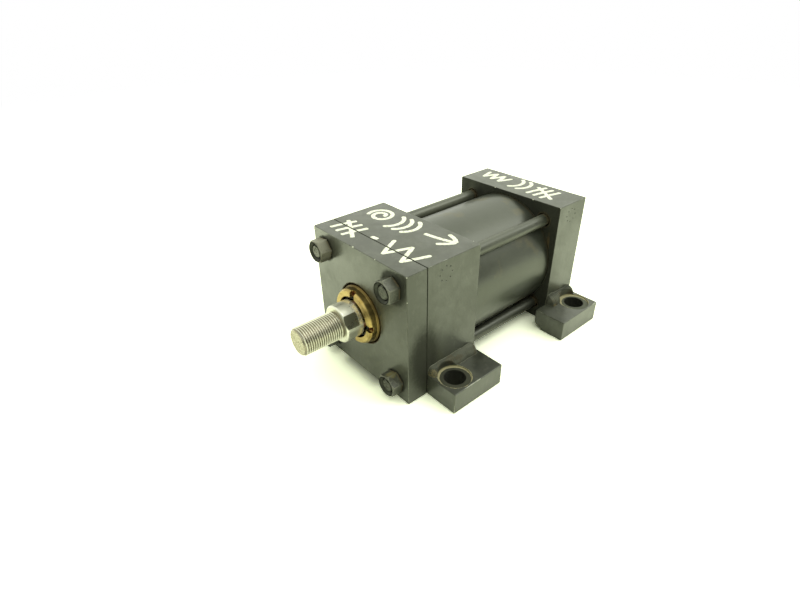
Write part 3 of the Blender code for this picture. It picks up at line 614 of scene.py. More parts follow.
print("block helpers ready")

# %% Plate, head and cap
plate = square_block("plate_machined", plate_low, plate_high)
carve(
    plate, to_object("bore", drill(PLATE_BORE / 2, plate_low.y, plate_high.y, 0.3 * MM, 160), axis_place())
)

head = square_block("head_machined", head_low, head_high)
PILOT_RADIUS = 0.7 * INCH + SEAT_GAP
GLAND_SEAT = GLAND_BODY / 2 + SEAT_GAP
PILOT_START = gland_high.y - 12.0 * MM + SEAT_GAP
PILOT_END = gland_high.y + SEAT_GAP
CLEAR = 2.0 * MM
stepped = [
    (0.0, head_high.y + CLEAR),
    (CHAMBER / 2, head_high.y + CLEAR),
    (CHAMBER / 2, PILOT_END),
    (PILOT_RADIUS, PILOT_END),
    (PILOT_RADIUS, PILOT_START),
    (GLAND_SEAT, PILOT_START),
    (GLAND_SEAT, head_low.y - CLEAR),
    (0.0, head_low.y - CLEAR),
]
carve(head, to_object("bore", spun(stepped, 128, closed=False), axis_place()))

cap = square_block("cap_machined", cap_low, cap_high)
CAP_CHAMBER_DEPTH = 25.4 * MM
blind = [
    (0.0, cap_low.y + CAP_CHAMBER_DEPTH),
    (CHAMBER / 2, cap_low.y + CAP_CHAMBER_DEPTH),
    (CHAMBER / 2, cap_low.y - CLEAR),
    (0.0, cap_low.y - CLEAR),
]
carve(cap, to_object("bore", spun(blind, 128, closed=False), axis_place()))

# %% [markdown]
# The tube sits in a ring groove in the head and in the cap. A little chamfer at
# the groove's outer rim gives the thin light line that runs round the tube.

# %% Tube seats
TUBE_SEAT_DEPTH = 4.8 * MM
RIM = 0.25 * MM


def tube_seat(face, direction):
    """The ring groove for the tube's end, cut into a face that looks along -direction."""
    outer = TUBE_RADIUS + SEAT_GAP
    inner = BORE / 2 - SEAT_GAP
    bottom = face + direction * TUBE_SEAT_DEPTH
    mouth = face - direction * CLEAR
    profile = [
        (inner, bottom),
        (outer, bottom),
        (outer, face + direction * RIM),
        (outer + RIM, face),
        (outer + RIM, mouth),
        (inner, mouth),
    ]
    return spun(profile, 160)


seat_place = axis_place() @ Matrix.Rotation(SEAT_TURN, 4, "Y")
carve(head, to_object("seat", tube_seat(head_high.y, -1), seat_place))
carve(cap, to_object("seat", tube_seat(cap_low.y, 1), seat_place))

# %% [markdown]
# ## Screw threads
#
# A thread is one small tooth shape, spun and raised by one pitch a turn. The
# turns then meet each other, are merged, and two flat cuts make the ends square.
# The flank angle, the flat crest and the root follow the usual 60 degree form.

# %% A threaded bar
THREAD_DEPTH = 0.6134


def threaded(outer, pitch, front, rear, limit=None, steps=72):
    """A threaded bar along Y. The function limit gives the largest radius at each place along it."""
    depth = pitch * THREAD_DEPTH
    flank = depth * math.tan(math.radians(30.0))
    crest = pitch / 8
    root = pitch - crest - 2 * flank
    form = [
        (outer - depth, 0.0),
        (outer - depth, root),
        (outer - depth * 0.1, root + flank * 0.9),
        (outer, root + flank + crest * 0.3),
        (outer, root + flank + crest * 0.7),
        (outer - depth * 0.1, pitch - flank * 0.9),
        (outer - depth, pitch),
    ]
    turns = math.ceil((rear - front) / pitch) + 3
    shape = bmesh.new()
    points = [shape.verts.new((radius, front - 1.5 * pitch + y, 0.0)) for radius, y in form]
    for first, second in zip(points, points[1:]):
        shape.edges.new((first, second))
    bmesh.ops.spin(
        shape,
        geom=shape.verts[:] + shape.edges[:],
        cent=(0.0, 0.0, 0.0),
        axis=(0.0, 1.0, 0.0),
        dvec=(0.0, pitch / steps, 0.0),
        angle=math.tau * turns,
        steps=steps * turns,
    )
    bmesh.ops.remove_doubles(shape, verts=shape.verts, dist=0.004 * MM)
    if limit:
        for vert in shape.verts:
            radius = math.hypot(vert.co.x, vert.co.z)
            allowed = limit(vert.co.y)
            if radius > allowed:
                vert.co.x *= allowed / radius
                vert.co.z *= allowed / radius
    for place, direction in ((front, -1.0), (rear, 1.0)):
        bmesh.ops.bisect_plane(
            shape,
            geom=shape.verts[:] + shape.edges[:] + shape.faces[:],
            dist=0.0001 * MM,
            plane_co=(0.0, place, 0.0),
            plane_no=(0.0, direction, 0.0),
            clear_outer=True,
        )
    bmesh.ops.holes_fill(shape, edges=shape.edges, sides=0)
    bmesh.ops.recalc_face_normals(shape, faces=shape.faces)
    return shape


print("thread helper ready")

# %% [markdown]
# The two air ports are drilled and tapped on the left side. A threaded plug in
# the shape of the tap cuts a real internal thread.

# %% Tap the ports
PORT = 18.3 * MM
PORT_MOUTH = 21.8 * MM
PORT_MOUTH_DEPTH = 2.0 * MM
PORT_PITCH = INCH / 14
PORT_THREAD = 16.0 * MM
PORT_DRILL = BLOCK_SIDE - CHAMBER / 4
port_places = {"head": head_high.y - 17.5 * MM, "cap": cap_low.y + 15.875 * MM}


def tap(block, y):
    """Drill and tap a port into the left side of a block."""
    to_left = Matrix.Translation((0.0, y, AXIS_HEIGHT)) @ Matrix.Rotation(math.radians(90.0), 4, "Z")
    drill_profile = [
        (0.0, BLOCK_SIDE + CLEAR),
        (PORT_MOUTH / 2 + (PORT_MOUTH - PORT) / 2 * CLEAR / PORT_MOUTH_DEPTH, BLOCK_SIDE + CLEAR),
        (PORT / 2, BLOCK_SIDE - PORT_MOUTH_DEPTH),
        (PORT / 2, BLOCK_SIDE - PORT_DRILL),
        (0.0, BLOCK_SIDE - PORT_DRILL),
    ]
    drill_place = to_left @ Matrix.Rotation(PORT_DRILL_TURN, 4, "Y")
    carve(block, to_object("drill", spun(drill_profile, 96, closed=False), drill_place))
    tooth = PORT_PITCH * THREAD_DEPTH
    plug = threaded(PORT / 2 + tooth * 0.9, PORT_PITCH, BLOCK_SIDE - PORT_THREAD, BLOCK_SIDE - 0.2 * MM)
    carve(block, to_object("tap", plug, to_left @ Matrix.Rotation(PORT_TAP_TURN, 4, "Y")))


tap(head, port_places["head"])
tap(cap, port_places["cap"])
print("head", len(head.data.polygons), "faces, cap", len(cap.data.polygons), "faces")

# %% [markdown]
# A ring of small punch dots sits high on the right side of head and cap, and the
# edges carry the knocks of a working life: the largest ones are where two blocks
# meet the outside world, at the corners of the top.

# %% Punch dots and knocks
DOT_COUNT = 8
DOT_RING = 5.0 * MM
DOT_RADIUS = 0.60 * MM
DOT_HEIGHT = AXIS_HEIGHT + 38.4 * MM


def punch_dots(block, y):
    """A ring of little cone pits in the right side of a block."""
    hollows = bmesh.new()
    for number in range(DOT_COUNT):
        turn = math.tau * number / DOT_COUNT
        place = Vector((BLOCK_SIDE, y + DOT_RING * math.cos(turn), DOT_HEIGHT + DOT_RING * math.sin(turn)))
        bmesh.ops.create_cone(
            hollows,
            cap_ends=True,
            segments=12,
            radius1=0.02 * MM,
            radius2=DOT_RADIUS * 2,
            depth=DOT_RADIUS * 2,
            matrix=Matrix.Translation(place) @ Matrix.Rotation(math.radians(90.0), 4, "Y"),
        )
    carve(block, to_object("hollows", hollows))


punch_dots(head, 2.3 * MM)
punch_dots(cap, cap_low.y + 15.0 * MM)

TOP = plate_high.z
knock(plate, (-6.0 * MM, plate_low.y, TOP), 0.8 * MM, 3.0, (1.8, 0.7, 0.7))
knock(plate, (17.0 * MM, plate_low.y, TOP), 0.5 * MM, 5.0, (1.5, 0.8, 0.8))
knock(plate, (-BLOCK_SIDE, plate_low.y, TOP), 0.9 * MM, 7.0)
knock(plate, (BLOCK_SIDE, plate_low.y, TOP), 0.7 * MM, 8.0)
knock(plate, (BLOCK_SIDE, plate_low.y, TOP - 14.0 * MM), 0.6 * MM, 9.0, (0.8, 0.8, 3.0))
knock(head, (BLOCK_SIDE, head_high.y, TOP), 1.3 * MM, 11.0, (1.2, 0.9, 0.8))
knock(head, (BLOCK_SIDE - 4.0 * MM, head_high.y, TOP), 0.6 * MM, 12.0, (2.5, 0.7, 0.7))
knock(head, (BLOCK_SIDE, head_high.y, TOP - 30.0 * MM), 0.6 * MM, 13.0, (0.7, 0.9, 4.0))
knock(head, (BLOCK_SIDE, head_low.y, TOP), 0.7 * MM, 14.0)
knock(cap, (BLOCK_SIDE, cap_low.y, TOP), 0.7 * MM, 15.0)
knock(cap, (-12.0 * MM, cap_low.y, TOP), 0.6 * MM, 16.0, (2.2, 0.7, 0.7))
knock(cap, (24.0 * MM, cap_low.y, TOP), 0.5 * MM, 17.0, (2.6, 0.7, 0.7))
knock(cap, (BLOCK_SIDE, cap_high.y, TOP - 2.0 * MM), 0.6 * MM, 18.0)
knock(cap, (-20.0 * MM, cap_high.y, TOP), 0.6 * MM, 19.0, (2.2, 0.7, 0.7))
print("plate", len(plate.data.polygons), "faces")

# %% [markdown]
# Rust sits where water stays: in the rims of the tie rod holes and round the
# gland's bore. Each rim is one ring in the material of its block. Other rings are
# painted shade: round the nuts on the plate, beside the front lugs and on the
# cap's front face.

# %% Fasten the blocks
RING_ALONG = (1.0, 0.0, 1.0)
RING_UP = (1.0, 1.0, 0.0)


def hole_rims(tone, width):
    """Rust rings round the four tie rod holes."""
    rims = []
    for x, z in corners.values():
        inner = TIE_ROD_HOLE / 2 - 0.5 * MM
        rims.append(((x, 0.0, z), RING_ALONG, inner, inner + width, 0.5 * MM, 0.25 * MM, tone))
    return rims


bore_rim = [((0.0, 0.0, AXIS_HEIGHT), RING_ALONG, PLATE_BORE / 2 - 1.0 * MM, PLATE_BORE / 2 + 0.4 * MM,
             0.5 * MM, 0.3 * MM, RUST_DARK)]
seat_rim = [
    (
        (0.0, 0.0, AXIS_HEIGHT),
        RING_ALONG,
        TUBE_RADIUS,
        TUBE_RADIUS + 0.5 * MM,
        0.3 * MM,
        0.1 * MM,
        STEEL_STREAK,
    ),
    ((41.5 * MM, 0.0, 62.0 * MM), (2.6, 0.0, 0.32), 0.0, 2.0 * MM, 3.0 * MM, 1.4 * MM, RUST_DARK),
]
nut_shadows = []
for corner, (x, z) in corners.items():
    reach, soft = (9.6 * MM, 3.2 * MM) if corner == "upper_right" else (8.0 * MM, 1.8 * MM)
    nut_shadows.append(((x, 0.0, z), RING_ALONG, -1.0 * MM, reach, soft, 0.6 * MM, DIRT_AND_SHADE))
# Painted shade on the sides of plate and head beside the front lugs, where the faces mirror the dark lugs.
lug_side_shade = []
for side in (1, -1):
    by_weld = (side * BLOCK_SIDE, head_low.y - 2.0 * MM, 31.0 * MM)
    lug_side_shade.append((by_weld, (0.8, 1.0, 0.5), -1.0 * MM, 6.5 * MM, 9.0 * MM, 1.6 * MM, DIRT_AND_SHADE))
joint = [
    (
        (0.0, (plate_high.y + head_low.y) / 2, 0.0),
        (0.0, 1.0, 0.0),
        0.0,
        0.34 * MM,
        0.16 * MM,
        0.05 * MM,
        DIRT_AND_SHADE,
    ),
]


def chips(*places):
    """Small bright chips where the finish is knocked off."""
    marks = []
    for x, y, z, size in places:
        marks.append(((x, y, z), (1.0, 1.0, 1.0), 0.0, size * MM, 0.15 * MM, 0.25 * MM, CHIP))
    return marks


plate_chips = chips(
    (-3.0 * MM, plate_low.y, TOP, 0.7),
    (-BLOCK_SIDE, plate_low.y, TOP, 0.6),
    (19.0 * MM, plate_low.y, TOP, 0.35),
    (BLOCK_SIDE, plate_low.y, TOP - 0.5 * MM, 0.5),
    (BLOCK_SIDE, plate_low.y, TOP - 17.0 * MM, 0.30),
)
head_chips = chips(
    (BLOCK_SIDE, head_high.y, TOP, 0.8),
    (BLOCK_SIDE - 6.0 * MM, head_high.y, TOP, 0.4),
    (BLOCK_SIDE, head_high.y, TOP - 31.0 * MM, 0.4),
)
plate_steel = oiled_steel(
    "plate_steel", plate_low, plate_high, nut_shadows + lug_side_shade + bore_rim + plate_chips + joint, 0.15 * MM
)
settle(plate, plate_steel, "cylinder", "block_steel", "retainer_plate")
head_rims = hole_rims(RUST_DARK, 1.0 * MM) + lug_side_shade + head_chips + joint
settle(head, oiled_steel("head_steel", head_low, head_high, head_rims), "cylinder", "block_steel", "head")
cap_chips = chips(
    (-12.0 * MM, cap_low.y, TOP, 0.45),
    (24.0 * MM, cap_low.y, TOP, 0.45),
    (BLOCK_SIDE, cap_low.y, TOP, 0.5),
    (-20.0 * MM, cap_high.y, TOP, 0.4),
)
# Painted shade: the cap's front face, which the head hides from the bright floor, goes dark and loses its
# coat.
cap_front_shade = [((0.0, cap_low.y, 0.0), (0.0, 1.0, 0.0), -1.0 * MM, 0.2 * MM, 0.2 * MM, 0.0, DIRT_AND_SHADE)]
cap_rims = cap_front_shade + hole_rims(color(0.040, 0.030, 0.014), 1.0 * MM) + seat_rim + cap_chips
settle(cap, oiled_steel("cap_steel", cap_low, cap_high, cap_rims), "cylinder", "block_steel", "cap")

# %% [markdown]
# ## Tube
#
# The tube is honed inside and painted black outside. Satin paint shows broad,
# soft reflections, and a light orange peel breaks them up a little. It is turned
# from one closed section.

# %% Tube paint
PAINT_DARK = color(0.016, 0.018, 0.013)
PAINT_LIGHT = color(0.034, 0.037, 0.028)
HONED = color(0.50, 0.50, 0.47)

satin = {"IOR": 1.75, "Specular_Tint": color(0.95, 1.0, 0.80), "Coat_Roughness": 0.22, "Coat_Weight": 0.35}
paint, tree, shader, point = new_finish("satin_tube_paint", **satin)
cloud = use_group(tree, clouds, {"Point": point, "Size": 18.0})["Cloud"]
lines = use_group(tree, scratches, {"Point": point, "Stretch": (1.0, 0.08, 1.0), "Scale": 900.0})
base = mix_color(tree, cloud, PAINT_DARK, PAINT_LIGHT)
base = mix_color(tree, calc(tree, "MULTIPLY", lines["Streaks"], 0.2), base, color(0.06, 0.065, 0.048))
oil_spots = smooth_step(tree, soft_noise(tree, point, 62.0, 3.0, 0.55), 0.56, 0.70)
base = mix_color(tree, calc(tree, "MULTIPLY", oil_spots, 0.7), base, color(0.085, 0.072, 0.036))
stain_values = {"Point": point, "Centre": (0.0, tube_high.y - 3.6 * MM, 0.0), "Across": (0.0, 1.0, 0.0)}
stain = use_group(
    tree, ring_mask, {**stain_values, "Inner": FILLED, "Outer": 0.7 * MM, "Ragged": 0.5 * MM}
)["Mask"]
base = mix_color(tree, calc(tree, "MULTIPLY", stain, 0.3), base, RUST_DARK)
from_axis = vector_calc(tree, "SUBTRACT", point, (0.0, 0.0, AXIS_HEIGHT))
bore_radius = vector_calc(tree, "LENGTH", vector_calc(tree, "MULTIPLY", from_axis, (1.0, 0.0, 1.0)))
below_axis = put(tree, "SeparateXYZ", {0: from_axis}).outputs[2]
# Painted shade: the tube's underside, and a broad patch low on the right by the cap, go dark, rougher and
# without coat.
underside = smooth_step(tree, below_axis, -0.54 * TUBE_RADIUS, -0.68 * TUBE_RADIUS)
rear_corner = (TUBE_RADIUS, cap_low.y, AXIS_HEIGHT - 0.45 * TUBE_RADIUS)
rear_values = {
    "Point": point, "Centre": rear_corner, "Inner": FILLED, "Outer": 8.0 * MM, "Soft": 26.0 * MM
}
rear_shade = use_group(tree, ring_mask, {**rear_values, "Ragged": 0.8 * MM})["Mask"]
tone_mask = calc(tree, "MAXIMUM", underside, calc(tree, "MULTIPLY", rear_shade, 0.8))
base = mix_color(tree, calc(tree, "MULTIPLY", tone_mask, 0.85), base, DIRT_AND_SHADE)
inside_bore = smooth_step(tree, bore_radius, BORE / 2 + 0.6 * MM, BORE / 2 + 0.4 * MM)
base = mix_color(tree, inside_bore, base, HONED)
tree.links.new(base, shader.inputs["Base Color"])
tree.links.new(inside_bore, shader.inputs["Metallic"])
rough = calc(
    tree, "ADD", smooth_step(tree, cloud, 0.0, 1.0, 0.30, 0.40), calc(tree, "MULTIPLY", oil_spots, 0.12)
)
rough = calc(tree, "ADD", rough, calc(tree, "MULTIPLY", underside, 0.30))
tree.links.new(rough, shader.inputs["Roughness"])
tree.links.new(
    calc(tree, "MULTIPLY", calc(tree, "SUBTRACT", 1.0, tone_mask), 0.35), shader.inputs["Coat Weight"]
)
peel = soft_noise(tree, point, 700.0, 2.0, 0.5)
grain = soft_noise(tree, point, 3000.0, 2.0, 0.5)
height = calc(tree, "ADD", calc(tree, "MULTIPLY", peel, 0.9), calc(tree, "MULTIPLY", grain, 0.1))
tree.links.new(bump(tree, height, 0.010 * MM, 0.5), shader.inputs["Normal"])

# %% Turn the tube
tube_section = [
    (TUBE_RADIUS, tube_high.y),
    (TUBE_RADIUS, tube_low.y),
    (BORE / 2, tube_low.y),
    (BORE / 2, tube_high.y),
]
tube = to_object("tube_turned", spun(soften(tube_section, 0.3 * MM), 192), axis_place())
settle(tube, paint, "cylinder", "tube_paint", "cylinder_tube")

# %% [markdown]
# ## Tie rods
#
# Each tie rod is rolled bar with a thread at both ends. The threads run into the
# blocks, so only the tips show in the nuts. One rod is made and copied four times.

# %% Tie rod steel
rod_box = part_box("upper_right_tie_rod")
TIE_FRONT = rod_box[0].y
TIE_REAR = rod_box[1].y
rod_black, tree, shader, point = new_finish("tie_rod_black", **satin)
cloud = use_group(tree, clouds, {"Point": point, "Size": 40.0})["Cloud"]
lines = use_group(tree, scratches, {"Point": point, "Stretch": (1.0, 0.03, 1.0), "Scale": 1600.0})
base = mix_color(tree, cloud, color(0.018, 0.020, 0.014), color(0.045, 0.048, 0.034))
base = mix_color(tree, calc(tree, "MULTIPLY", lines["Streaks"], 0.5), base, color(0.115, 0.118, 0.088))
rod_height = put(tree, "SeparateXYZ", {0: point}).outputs[2]
# Painted shade: the two tie rods below the axis are darker, lying under the tube.
low_rod = smooth_step(tree, rod_height, AXIS_HEIGHT, AXIS_HEIGHT - 20.0 * MM, 0.0, 0.75)
base = mix_color(tree, low_rod, base, DIRT_AND_SHADE)
foot = {"Point": point, "Centre": (0.0, cap_low.y, 0.0), "Across": (0.0, 1.0, 0.0)}
foot_rust = use_group(
    tree, ring_mask, {**foot, "Inner": FILLED, "Outer": 1.6 * MM, "Ragged": 0.9 * MM}
)["Mask"]
base = mix_color(tree, calc(tree, "MULTIPLY", foot_rust, 0.6), base, color(0.085, 0.062, 0.028))
tips = []
for tip_y in (TIE_FRONT, TIE_REAR):
    at_tip = {"Point": point, "Centre": (0.0, tip_y, 0.0), "Across": (0.0, 1.0, 0.0), "Ragged": 0.0}
    tip_values = {**at_tip, "Inner": FILLED, "Outer": 0.05 * MM, "Soft": 0.1 * MM}
    tips.append(use_group(tree, ring_mask, tip_values)["Mask"])
tip = calc(tree, "MAXIMUM", tips[0], tips[1])
pitted = soft_noise(tree, point, 900.0, 4.0, 0.7)
left_x, left_z = corners["upper_left"]
left_tip = {"Point": point, "Centre": (left_x, TIE_FRONT, left_z), "Inner": FILLED, "Outer": 3.4 * MM}
pale = use_group(tree, ring_mask, {**left_tip, "Soft": 0.8 * MM})["Mask"]
tip_tone = mix_color(tree, pale, color(0.115, 0.118, 0.088), color(0.34, 0.34, 0.27))
base = mix_color(tree, tip, base, mix_color(tree, smooth_step(tree, pitted, 0.36, 0.58), DIRT_AND_SHADE, tip_tone))
tree.links.new(base, shader.inputs["Base Color"])
rough = calc(tree, "ADD", smooth_step(tree, cloud, 0.0, 1.0, 0.38, 0.52), calc(tree, "MULTIPLY", tip, 0.3))
tree.links.new(rough, shader.inputs["Roughness"])
tree.links.new(
    calc(tree, "SUBTRACT", 0.35, calc(tree, "MULTIPLY", tip, 0.35)), shader.inputs["Coat Weight"]
)
height = calc(
    tree, "ADD", lines["Lines"], calc(tree, "MULTIPLY", calc(tree, "MULTIPLY", pitted, tip), 14.0)
)
tree.links.new(bump(tree, height, 0.008 * MM, 0.5), shader.inputs["Normal"])

# %% One tie rod and its copies
TIE_THREAD_LENGTH = 1.125 * INCH
TIE_CHAMFER = 0.86 * MM
TIE_PITCH = INCH / 16


def tip_limit(radius, tip, chamfer):
    """The largest radius near a chamfered tip."""
    return lambda y: radius - max(0.0, chamfer - abs(y - tip))


thread_radius = TIE_ROD_THREAD / 2
shank_radius = TIE_ROD_SHANK / 2
step = thread_radius - shank_radius
shank = [
    (0.0, TIE_REAR - TIE_THREAD_LENGTH + 2.0 * MM),
    (shank_radius - 0.7 * MM, TIE_REAR - TIE_THREAD_LENGTH + 2.0 * MM),
    (shank_radius, TIE_REAR - TIE_THREAD_LENGTH - step),
    (shank_radius, TIE_FRONT + TIE_THREAD_LENGTH + step),
    (shank_radius - 0.7 * MM, TIE_FRONT + TIE_THREAD_LENGTH - 2.0 * MM),
    (0.0, TIE_FRONT + TIE_THREAD_LENGTH - 2.0 * MM),
]
tie_rod = to_object("tie_rod", spun(shank, 64, closed=False))
for tip, start_y, stop_y in (
    (TIE_FRONT, TIE_FRONT, TIE_FRONT + TIE_THREAD_LENGTH),
    (TIE_REAR, TIE_REAR - TIE_THREAD_LENGTH, TIE_REAR),
):
    stub = threaded(
        thread_radius, TIE_PITCH, start_y, stop_y, tip_limit(thread_radius, tip, TIE_CHAMFER), 48
    )
    carve(tie_rod, to_object("stub", stub), "UNION")
for corner, (x, z) in corners.items():
    mesh = tie_rod.data.copy()
    mesh.transform(Matrix.Translation((x, 0.0, z)))
    rod = bpy.data.objects.new(corner + "_tie_rod_threaded", mesh)
    bpy.context.scene.collection.objects.link(rod)
    settle(rod, rod_black, "cylinder", "rod_black_steel", corner + "_tie_rod")
bpy.data.objects.remove(tie_rod)

# %% [markdown]
# ## Nuts
#
# A nut is a hexagon whose outer corners were turned off with a 30 degree cone.
# Where cone and flats meet, they leave six arcs. A ring is spun first; then
# every row of its points is set from the hexagon's radius at that angle.

# %% Nut steel
nut_steel, tree, shader, point = new_finish("dark_nut_steel", **OILED)
cloud = use_group(tree, clouds, {"Point": point, "Size": 110.0})["Cloud"]
scale_spots = soft_noise(tree, point, 640.0, 4.0, 0.65)
exposed = put(tree, "Attribute", attribute_name="exposed").outputs["Fac"]
base = mix_color(tree, cloud, color(0.018, 0.019, 0.014), color(0.055, 0.057, 0.042))
base = mix_color(tree, smooth_step(tree, scale_spots, 0.50, 0.68, 0.0, 0.8), base, color(0.12, 0.12, 0.088))
left_x, left_z = corners["upper_left"]
left_nut = {"Point": point, "Centre": (left_x, plate_low.y, left_z), "Inner": FILLED, "Outer": 14.0 * MM}
pale = calc(
    tree,
    "MULTIPLY",
    use_group(tree, ring_mask, left_nut)["Mask"],
    smooth_step(tree, scale_spots, 0.30, 0.60, 0.5, 0.9),
)
nut_height = put(tree, "SeparateXYZ", {0: point}).outputs[2]
upper_flats = smooth_step(tree, nut_height, left_z - 4.4 * MM, left_z - 3.2 * MM, 0.05, 1.0)
base = mix_color(tree, calc(tree, "MULTIPLY", pale, upper_flats), base, PALE_STEEL)
low_x, low_z = corners["lower_right"]
low_nut = {"Point": point, "Centre": (low_x, plate_low.y - 4.0 * MM, low_z + 8.0 * MM), "Inner": FILLED}
olive = use_group(
    tree, ring_mask, {**low_nut, "Outer": 2.6 * MM, "Soft": 1.6 * MM, "Ragged": 0.9 * MM}
)["Mask"]
base = mix_color(tree, calc(tree, "MULTIPLY", olive, 0.85), base, color(0.170, 0.150, 0.062))
# Light edges and corners: wear, and partly a painted highlight.
edge = calc(
    tree,
    "MULTIPLY",
    smooth_step(tree, exposed, 0.62, 0.95),
    smooth_step(tree, scale_spots, 0.36, 0.52, 0.35, 1.0),
)
base = mix_color(tree, edge, base, color(0.17, 0.172, 0.130))
# Painted shade: the nut's bore and the mouth round the rod end go dark and lose their coat.
sunk = smooth_step(tree, exposed, 0.36, 0.10)
base = mix_color(tree, sunk, base, DIRT_AND_SHADE)
pale_rim = calc(tree, "MULTIPLY", pale, smooth_step(tree, exposed, 0.12, 0.40))
base = mix_color(tree, calc(tree, "MULTIPLY", pale_rim, 0.5), base, PALE_STEEL)
at_seat = calc(
    tree, "MULTIPLY", smooth_step(tree, exposed, 0.40, 0.32), smooth_step(tree, exposed, 0.22, 0.28)
)
seat_dirt = calc(tree, "MULTIPLY", at_seat, smooth_step(tree, scale_spots, 0.30, 0.52, 0.3, 1.0))
base = mix_color(tree, calc(tree, "MULTIPLY", seat_dirt, 0.7), base, color(0.105, 0.078, 0.034))
tree.links.new(base, shader.inputs["Base Color"])
coat = calc(
    tree, "MULTIPLY", smooth_step(tree, cloud, 0.0, 1.0, 0.0, 0.45), calc(tree, "SUBTRACT", 1.0, sunk)
)
tree.links.new(coat, shader.inputs["Coat Weight"])
tree.links.new(smooth_step(tree, scale_spots, 0.3, 0.7, 0.42, 0.66), shader.inputs["Roughness"])
tree.links.new(bump(tree, scale_spots, 0.08 * MM, 0.6), shader.inputs["Normal"])

# %% A hexagon nut
NUT_FLATS = 0.5625 * INCH
NUT_HEIGHT = 0.328 * INCH
NUT_MOUTH = 1.5 * MM
NUT_INSET = 0.3 * MM
CORNER_SHARPNESS = 46.0


def hexagon_radius(turn, flats):
    """The radius of a hexagon at an angle, its corners a little rounded."""
    total = 0.0
    for number in range(3):
        total += abs(math.cos(turn - math.pi * number / 3)) ** CORNER_SHARPNESS
    return flats / 2 / total ** (1 / CORNER_SHARPNESS)


def nut_rows(radius, flats, height, hole, mouth):
    """Radius, y and how exposed the steel is, row by row, where the hexagon has this radius.

    y runs from 0 at the seat to -height; exposed is 1 on the edges, where wear and a painted highlight go,
    and 0 in the hollows, where painted shade goes.
    """
    face = flats / 2 - NUT_INSET
    meet = -height + max(0.0, radius - face) * math.tan(math.radians(30.0))
    edge = 0.12 * MM
    return [
        (hole, 0.0, 0.0),
        (radius - 2 * edge, 0.0, 0.3),
        (radius - edge / 2, -edge / 2, 0.3),
        (radius, -2 * edge, 0.32),
        (radius, meet / 2, 0.5),
        (radius, meet + 5 * edge, 0.55),
        (radius, meet + edge, 0.95),
        (radius - edge / 3, meet + edge / 3, 1.0),
        (radius - edge, meet - edge / 2, 0.8),
        (face + edge / 2, -height + edge / 3, 0.95),
        (face - edge / 2, -height, 0.95),
        (face - 4 * edge, -height, 0.5),
        (hole + mouth + 3 * edge, -height, 0.5),
        (hole + mouth + edge / 2, -height, 0.8),
        (hole + mouth - edge, -height + edge, 0.15),
        (hole, -height + mouth, 0.0),
    ]


def nut(flats, height, hole, mouth, steps=144):
    """A hexagon nut on the Y axis, from y = 0 to y = -height."""
    corner_radius = hexagon_radius(math.radians(30.0), flats)
    rows = nut_rows(corner_radius, flats, height, hole, mouth)
    shape = bmesh.new()
    mark = shape.verts.layers.int.new("row")
    exposed = shape.verts.layers.float.new("exposed")
    points = []
    for number, (radius, y, wear) in enumerate(rows):
        made = shape.verts.new((radius, y, 0.0))
        made[mark] = number
        points.append(made)
    for first, second in zip(points, points[1:] + points[:1]):
        shape.edges.new((first, second))
    bmesh.ops.spin(
        shape,
        geom=shape.verts[:] + shape.edges[:],
        cent=(0.0, 0.0, 0.0),
        axis=(0.0, 1.0, 0.0),
        angle=math.tau,
        steps=steps,
        use_merge=True,
    )
    for vert in shape.verts:
        turn = math.atan2(vert.co.z, vert.co.x)
        hexagon = hexagon_radius(turn, flats)
        radius, y, wear = nut_rows(hexagon, flats, height, hole, mouth)[vert[mark]]
        if radius == hexagon and hexagon > corner_radius * 0.985:
            wear += 0.30
        vert[exposed] = wear
        vert.co = (radius * math.cos(turn), y, radius * math.sin(turn))
    bmesh.ops.recalc_face_normals(shape, faces=shape.faces)
    return shape


# %% Eight nuts on their rods
nut_turns = {"upper_right": 3.0, "upper_left": 22.0, "lower_right": 12.0, "lower_left": 35.0}
for corner, (x, z) in corners.items():
    turned_nut = Matrix.Rotation(math.radians(nut_turns[corner]), 4, "Y")
    seats = {
        "front": Matrix.Translation((x, plate_low.y - SEAT_GAP, z)) @ turned_nut,
        "rear": Matrix.Translation((x, cap_high.y + SEAT_GAP, z))
        @ turned_nut
        @ Matrix.Rotation(math.pi, 4, "Z"),
    }
    for end_name, place in seats.items():
        shape = nut(NUT_FLATS, NUT_HEIGHT, TIE_ROD_THREAD / 2 + SEAT_GAP, NUT_MOUTH)
        piece = to_object(corner + "_" + end_name + "_nut_hexagon", shape, place, sharp=32.0)
        settle(piece, nut_steel, "cylinder", "nut_steel", corner + "_" + end_name + "_nut")

# %% [markdown]
# ## Side lugs
#
# Four short bars are welded to the sides of head and cap, each with one bolt
# hole and a spotface. The bars are bevelled boxes, drilled along Z. The rear
# ones reach in front of the cap, where their lower edge was left rough.

# %% Lug bodies
LUG_EDGE = 0.6 * MM
LUG_ROOT = 6.5 * MM


def upright(x, y):
    """The shift that stands a spun piece on its end at this place."""
    return Matrix.Translation((x, y, 0.0)) @ Matrix.Rotation(math.radians(90.0), 4, "X")


def lug_drill():
    """Bolt hole and spotface as one stepped drill, standing at the origin."""
    ease = 0.2 * MM
    floor = LUG_TOP - SPOTFACE_DEPTH
    profile = [
        (0.0, LUG_TOP + 2 * INCH),
        (SPOTFACE / 2 + 0.1 * MM, LUG_TOP + 2 * INCH),
        (SPOTFACE / 2, LUG_TOP - ease),
        (SPOTFACE / 2, floor),
        (LUG_HOLE / 2 + ease, floor),
        (LUG_HOLE / 2, floor - ease),
        (LUG_HOLE / 2, ease),
        (LUG_HOLE / 2 + 2 * ease, -ease),
        (0.0, -ease),
    ]
    return spun(profile, 96, closed=False)


